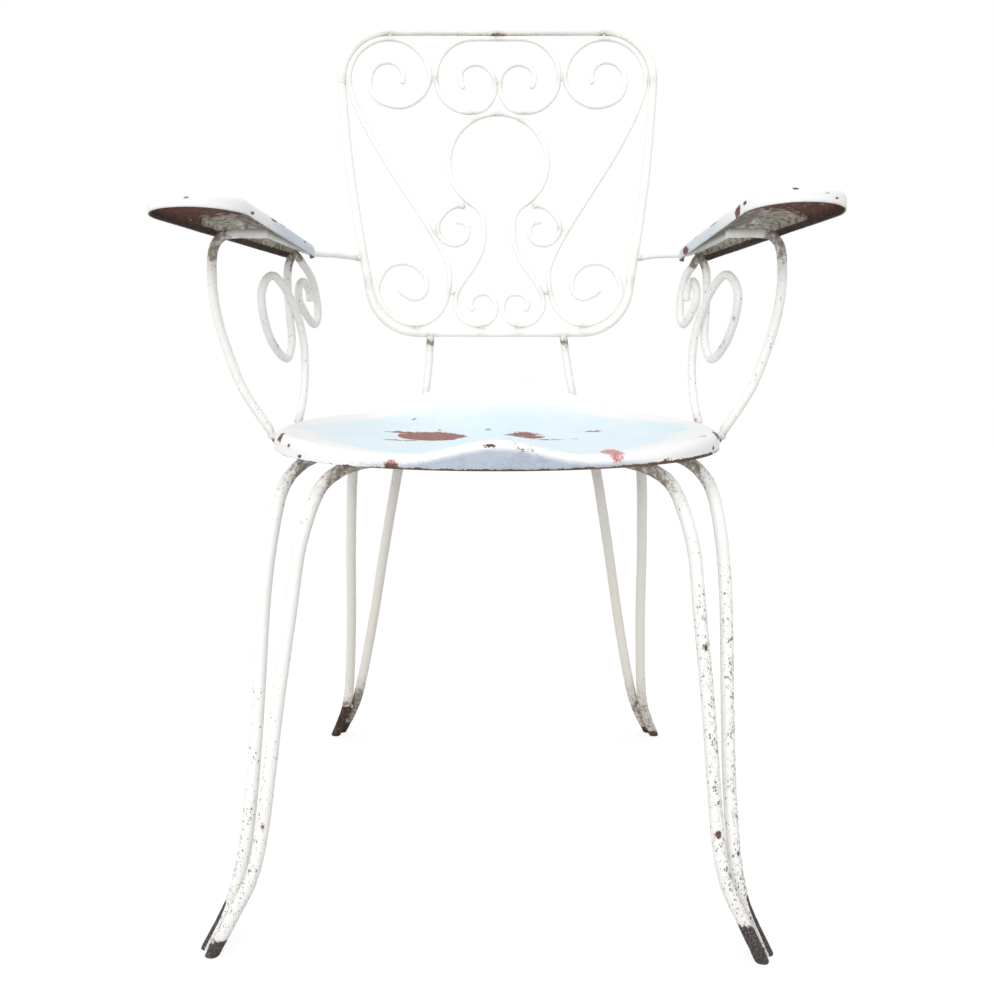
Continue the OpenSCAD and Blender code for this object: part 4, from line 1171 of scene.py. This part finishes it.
class GARDENCHAIR_OT_seat(Piece):
    """Builds the pressed seat pan with its rolled rim, skirt and lost paint."""
    bl_idname = "garden_chair.seat"
    bl_label = "Seat pan"

    def build(self):
        shape = chair()[1]
        rings, top, drop, lift = seat_rings()
        x, depth = rings[..., 0], rings[..., 1]
        inside = 1 - np.linalg.norm((rings[..., :2] - [0, SEAT_MIDDLE]) / [SEAT_WIDTH / 2, 185], axis=-1)
        bare = np.where(top > 0, bare_field("seat_pan", rings), -4 + 6 * noise(rings, 30, 5))
        front = ease(90, 70, depth)
        worn = mix(1.5, 2.6, ease(60, 180, x)) * ease(-150, -60, x) * ease(0.10, 0.05, inside)
        low_edge = 3.0 * (worn - lift)
        bare = np.where((top > 0) & (depth < 150), np.maximum(bare, low_edge), bare)
        # Painted shade along the skirt's lower edge.
        painted_edge_shade = 0.9 * ease(3.4, 0.6, lift) * ease(-160, 120, x) * ease(0.08, 0.04, inside)
        bowl = np.where(depth < SEAT_MIDDLE, ease(0.12, 0.25, inside), ease(0.03, 0.16, inside))
        fields = {
            "bare": bare,
            "rust": 0.14 + 0.67 * ease(0.06, 0.14, inside)
            + 0.26 * ease(3, 6, lift) * ease(30, 60, np.abs(x + 8)) * ease(0.14, 0.06, inside)
            + 0.56 * np.exp(-(((rings - [-90, 64, 421]) / [16, 30, 16]) ** 2).sum(-1))
            + 0.80 * np.exp(-(((rings - [104, 95, 430]) / [22, 50, 20]) ** 2).sum(-1)),
            "pits": np.where(top > 0, 0.02 + 0.16 * ease(0.06, 0.0, inside), 0.3),
            # On top, painted shade along the skirt's lower edge; the underside is darkened all over.
            "grime": np.where(top > 0, painted_edge_shade + 0.03, 0.9),
            "craze": top * front * (ease(2, 9, drop) * ease(175, 110, np.abs(x - 15))
                                    + 0.9 * ease(4, 1, drop) * ease(24, 14, np.abs(x - 30))),
            "tint": top * bowl * ease(405, 340, depth),
            # Where the front skirt takes the blue-grey painted shade.
            "skirt": top * front * ease(3.5, 10, drop) * ease(150, 90, np.abs(x - 15)),
        }
        dent = 0.7 * (noise(rings, 55, 6) - 0.5) * ease(0.05, 0.25, inside)
        rings[..., 2] += dent - top * shape.chip_depth / MM * ease(-0.5, 0.5, bare)
        mesh = skin("seat_pan", rings, fields)
        place("painted_seat_pan", mesh, paint_material("seat_paint"), "seat_paint", ["seat_pan"])


class GARDENCHAIR_OT_arm_pads(Piece):
    """Builds the two pressed arm pads, crowned on top and rusty beneath."""
    bl_idname = "garden_chair.arm_pads"
    bl_label = "Arm pads"

    def build(self):
        shape = chair()[1]
        for name, side in SIDES.items():
            node = "arm_pad_" + name
            rings, top = pad_rings(side)
            x, depth, z = (rings[..., i] for i in range(3))
            lift = z - pad_z(depth, side)
            # Where the underside's rust ends, and how strongly the top's inner side takes the blue-grey painted
            # shade.
            rusty, blue_shade_share = (172, 1.0) if side == LEFT else (160, 0.75)
            below = 3.5 * ease(rusty + 30, rusty - 10, depth) - 2.2
            across = np.abs(x) - pad_axis_x(depth)
            inner = ease(-6, -14, across)
            far = ease(2, 8, across) * ease(7.5, 4.5, lift)
            # Under the pad: dirt all over, and painted shade on the flange's inside near its lower edge and
            # along the inner flange behind the rust.
            dirt_and_shade_below = 0.82 + 0.5 * ease(7, 3.5, lift) + 0.7 * inner * ease(rusty, rusty + 40, depth)
            # The far flange's inside near its lower edge is made bare, nearly black metal, which darkens it.
            bare = np.where(top > 0, bare_field(node, rings), np.maximum(below, 6 * far - 2.5))
            fields = {
                "bare": bare,
                "rust": np.where(top > 0, 0.50, (0.50 + 0.36 * noise(rings, 12, 8)) * (1 - 0.9 * far)),
                "pits": np.where(top > 0, 0.05 + 0.3 * ease(6, 1, lift) * ease(60, 200, depth), 0.5),
                # The top darkens along the flange's lower edge.
                "grime": np.where(top > 0, 0.03 + 0.5 * ease(2.5, 0.5, lift), dirt_and_shade_below),
                # The top's inner side takes the blue-grey painted shade; the underside takes the aged paint.
                "tint": np.where(top > 0, inner * ease(130, 215, depth) * blue_shade_share, -1.0),
            }
            rings[..., 2] -= top * (shape.chip_depth / MM * ease(-0.5, 0.5, bare) + 0.5 * noise(rings, 30, 7))
            mesh = skin(node, rings, fields)
            place("painted_" + node, mesh, paint_material("pad_paint"), "pad_paint", [node])


class GARDENCHAIR_OT_legs(Piece):
    """Builds the eight bent rods of the legs, cut flat at the floor."""
    bl_idname = "garden_chair.legs"
    bl_label = "Legs"

    def build(self):
        for end, inner_outer in LEG_KNOTS:
            for name, side in SIDES.items():
                rod(f"{end}_leg_{name}_{inner_outer}", leg_line(end, side, inner_outer), LEG_ROD, (0, 1, 0),
                    "rod_paint", first=((0, 0, 1), 0.0))


class GARDENCHAIR_OT_arm_rods(Piece):
    """Builds the supports, scrolls and rails that carry the arm pads."""
    bl_idname = "garden_chair.arm_rods"
    bl_label = "Arm rods"

    def build(self):
        for name, side in SIDES.items():
            rod("arm_support_" + name, support_line(side), POST_ROD, (0, 1, 0), "arm_paint",
                first=((side, 0, 0), SEAT_SIDE))
            rod("arm_scroll_" + name, scroll_line(side), ARM_ROD, (side, SCROLL_SWING, 0), "arm_paint",
                first=((0, 0, 1), scroll_foot(side)))
            rod("arm_rail_" + name, rail_line(side), RAIL_ROD, (0, 0, 1), "arm_paint")


class GARDENCHAIR_OT_back_frame(Piece):
    """Builds the closed frame of the back and its two posts."""
    bl_idname = "garden_chair.back_frame"
    bl_label = "Back frame"

    def build(self):
        rod("back_frame", frame_line(), FRAME_ROD, BACK_NORMAL, "back_paint", closed=True)
        for name, side in SIDES.items():
            rod("back_post_" + name, post_line(side), POST_ROD, (1, 0, 0), "back_paint",
                first=((0, 0, 1), POST_TOP))


class GARDENCHAIR_OT_back_scrolls(Piece):
    """Builds the corner, top and keyhole scrolls and the neck curls of the back."""
    bl_idname = "garden_chair.back_scrolls"
    bl_label = "Back scrolls"

    def build(self):
        for name, side in SIDES.items():
            rod("corner_scroll_" + name, on_back(corner_line(), side), SCROLL_ROD, BACK_NORMAL, "back_paint")
            rod("neck_curl_" + name, on_back(neck_line(), side), SCROLL_ROD, BACK_NORMAL, "back_paint")
        rod("top_scroll", on_back(top_line()), SCROLL_ROD, BACK_NORMAL, "back_paint")
        rod("keyhole_scroll", on_back(key_line()), SCROLL_ROD, BACK_NORMAL, "back_paint")


class GARDENCHAIR_OT_welds(Piece):
    """Builds the painted weld beads where rods meet."""
    bl_idname = "garden_chair.welds"
    bl_label = "Weld beads"

    def build(self):
        radius = chair()[1].bead / MM
        for name, slot in (("back", "back_paint"), ("arms", "arm_paint"), ("legs", "rod_paint")):
            for index, (point, size) in enumerate(WELDS[name]):
                if size <= 0:
                    continue
                point = np.array(point, float)
                point[2] = max(point[2], radius * size * 1.25)
                rings = bead_rings(point, radius * size, index + 1)
                wear = {"bare": 0.5 if point[2] < 15 else NO_CHIP, "rust": 0.3, "pits": 0.2, "grime": 0.55}
                fields = {key: np.full(rings.shape[:2], value) for key, value in wear.items()}
                label = f"weld_bead_{name}_{index + 1:02d}"
                place(label, skin(label, rings, fields), paint_material(slot), slot)


# The floor: how much of its shading shows, its extra glow, and how pale it is to other rays.
FLOOR_SHADE, FLOOR_LIFT, FLOOR_BOUNCE = 0.2, 0.04, 0.56


class GARDENCHAIR_OT_stage(Piece):
    """Sets up the pale floor, the white surroundings, the lamps and the camera."""
    bl_idname = "garden_chair.stage"
    bl_label = "Stage"

    def build(self):
        scene = bpy.context.scene
        stage = scene.garden_chair_stage
        self.floor()
        self.surroundings(stage)
        self.lamp("key", stage.key, (-0.35, -0.75, 2.3), (math.radians(18), 0, 0), 1.9)
        self.lamp("fill", stage.fill, (-1.3, -3.9, 1.7), (math.radians(74), 0, math.radians(-18)), 2.4)
        camera = bpy.data.cameras.new("camera")
        camera.lens = stage.lens
        camera.sensor_width = 36.0
        camera.clip_end = 50.0
        view = bpy.data.objects.new("camera", camera)
        view.location = (0, -stage.eye_distance - MIDDLE * MM, stage.eye_height)
        view.rotation_euler = (math.pi / 2 - stage.tilt, 0, 0)
        scene.collection.objects.link(view)
        scene.camera = view
        scene.view_settings.view_transform = "Standard"

    def floor(self):
        """A flat square, just under the feet."""
        half = 6.0
        mesh = bpy.data.meshes.new("floor")
        mesh.from_pydata([(-half, -half, 0), (half, -half, 0), (half, half, 0), (-half, half, 0)], [],
                         [(0, 1, 2, 3)])
        floor = bpy.data.objects.new("floor", mesh)
        bpy.context.scene.collection.objects.link(floor)
        material = bpy.data.materials.new("pale_floor")
        w = fresh_wiring(material)
        speckle = w.noise(w.add("ShaderNodeTexCoord").outputs["Object"], 40, 3)
        speckle = w.fit(speckle, 0.3, 0.7, 0.97, 1.0)
        tone = w.add("ShaderNodeCombineColor", {0: speckle, 1: speckle, 2: speckle}).outputs[0]
        pale = w.add("ShaderNodeBsdfDiffuse", {"Color": tone})
        dim = w.add("ShaderNodeBsdfDiffuse", {"Color": (FLOOR_BOUNCE, FLOOR_BOUNCE, FLOOR_BOUNCE, 1)})
        glow = w.add("ShaderNodeEmission", {"Color": (1, 1, 1, 1), "Strength": 1.0})
        lit = w.add("ShaderNodeMixShader", {0: FLOOR_SHADE, 1: glow.outputs[0], 2: pale.outputs[0]})
        extra = w.add("ShaderNodeEmission", {"Color": (1, 1, 1, 1), "Strength": FLOOR_LIFT})
        bright = w.add("ShaderNodeAddShader", {0: lit.outputs[0], 1: extra.outputs[0]})
        both = w.add("ShaderNodeMixShader",
                     {0: w.seen_straight(), 1: dim.outputs[0], 2: bright.outputs[0]})
        w.finish("ShaderNodeOutputMaterial", both)
        mesh.materials.append(material)

    def surroundings(self, stage):
        """White where the camera or a reflection sees it, and a plain even light otherwise."""
        world = bpy.data.worlds.new("surroundings")
        w = fresh_wiring(world)
        strength = w.blend(w.seen_straight(), stage.sky, 1.0)
        w.finish("ShaderNodeOutputWorld",
                 w.add("ShaderNodeBackground", {"Color": (1, 1, 1, 1), "Strength": strength}))
        bpy.context.scene.world = world

    def lamp(self, name, power, location, rotation, size):
        light = bpy.data.lights.new(name, "AREA")
        light.energy = power
        light.size = size
        lamp = bpy.data.objects.new(name, light)
        lamp.location = location
        lamp.rotation_euler = rotation
        bpy.context.scene.collection.objects.link(lamp)


BUILDERS = (GARDENCHAIR_OT_seat, GARDENCHAIR_OT_arm_pads, GARDENCHAIR_OT_legs,
            GARDENCHAIR_OT_arm_rods, GARDENCHAIR_OT_back_frame, GARDENCHAIR_OT_back_scrolls,
            GARDENCHAIR_OT_welds, GARDENCHAIR_OT_stage)
SETTINGS = {"garden_chair_finish": GardenChairFinish, "garden_chair_shape": GardenChairShape,
            "garden_chair_stage": GardenChairStage}


class GARDENCHAIR_PT_panel(bpy.types.Panel):
    """Lists the chair's settings and its builders."""
    bl_idname = "GARDENCHAIR_PT_panel"
    bl_label = "Garden chair"
    bl_space_type = "VIEW_3D"
    bl_region_type = "UI"
    bl_category = "Garden chair"

    def draw(self, context):
        for key, kind in SETTINGS.items():
            box = self.layout.box()
            for name in kind.__annotations__:
                box.prop(getattr(context.scene, key), name)
        for builder in BUILDERS:
            self.layout.operator(builder.bl_idname)


def register():
    for kind in (*SETTINGS.values(), *BUILDERS, GARDENCHAIR_PT_panel):
        bpy.utils.register_class(kind)
    for key, kind in SETTINGS.items():
        setattr(bpy.types.Scene, key, PointerProperty(type=kind))


def unregister():
    for key in SETTINGS:
        delattr(bpy.types.Scene, key)
    for kind in reversed((*SETTINGS.values(), *BUILDERS, GARDENCHAIR_PT_panel)):
        bpy.utils.unregister_class(kind)


def main():
    """Registers the chair's settings and builders, then builds the whole chair."""
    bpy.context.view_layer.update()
    register()
    for builder in BUILDERS:
        family, name = builder.bl_idname.split(".")
        getattr(getattr(bpy.ops, family), name)()


if __name__ == "__main__":
    main()
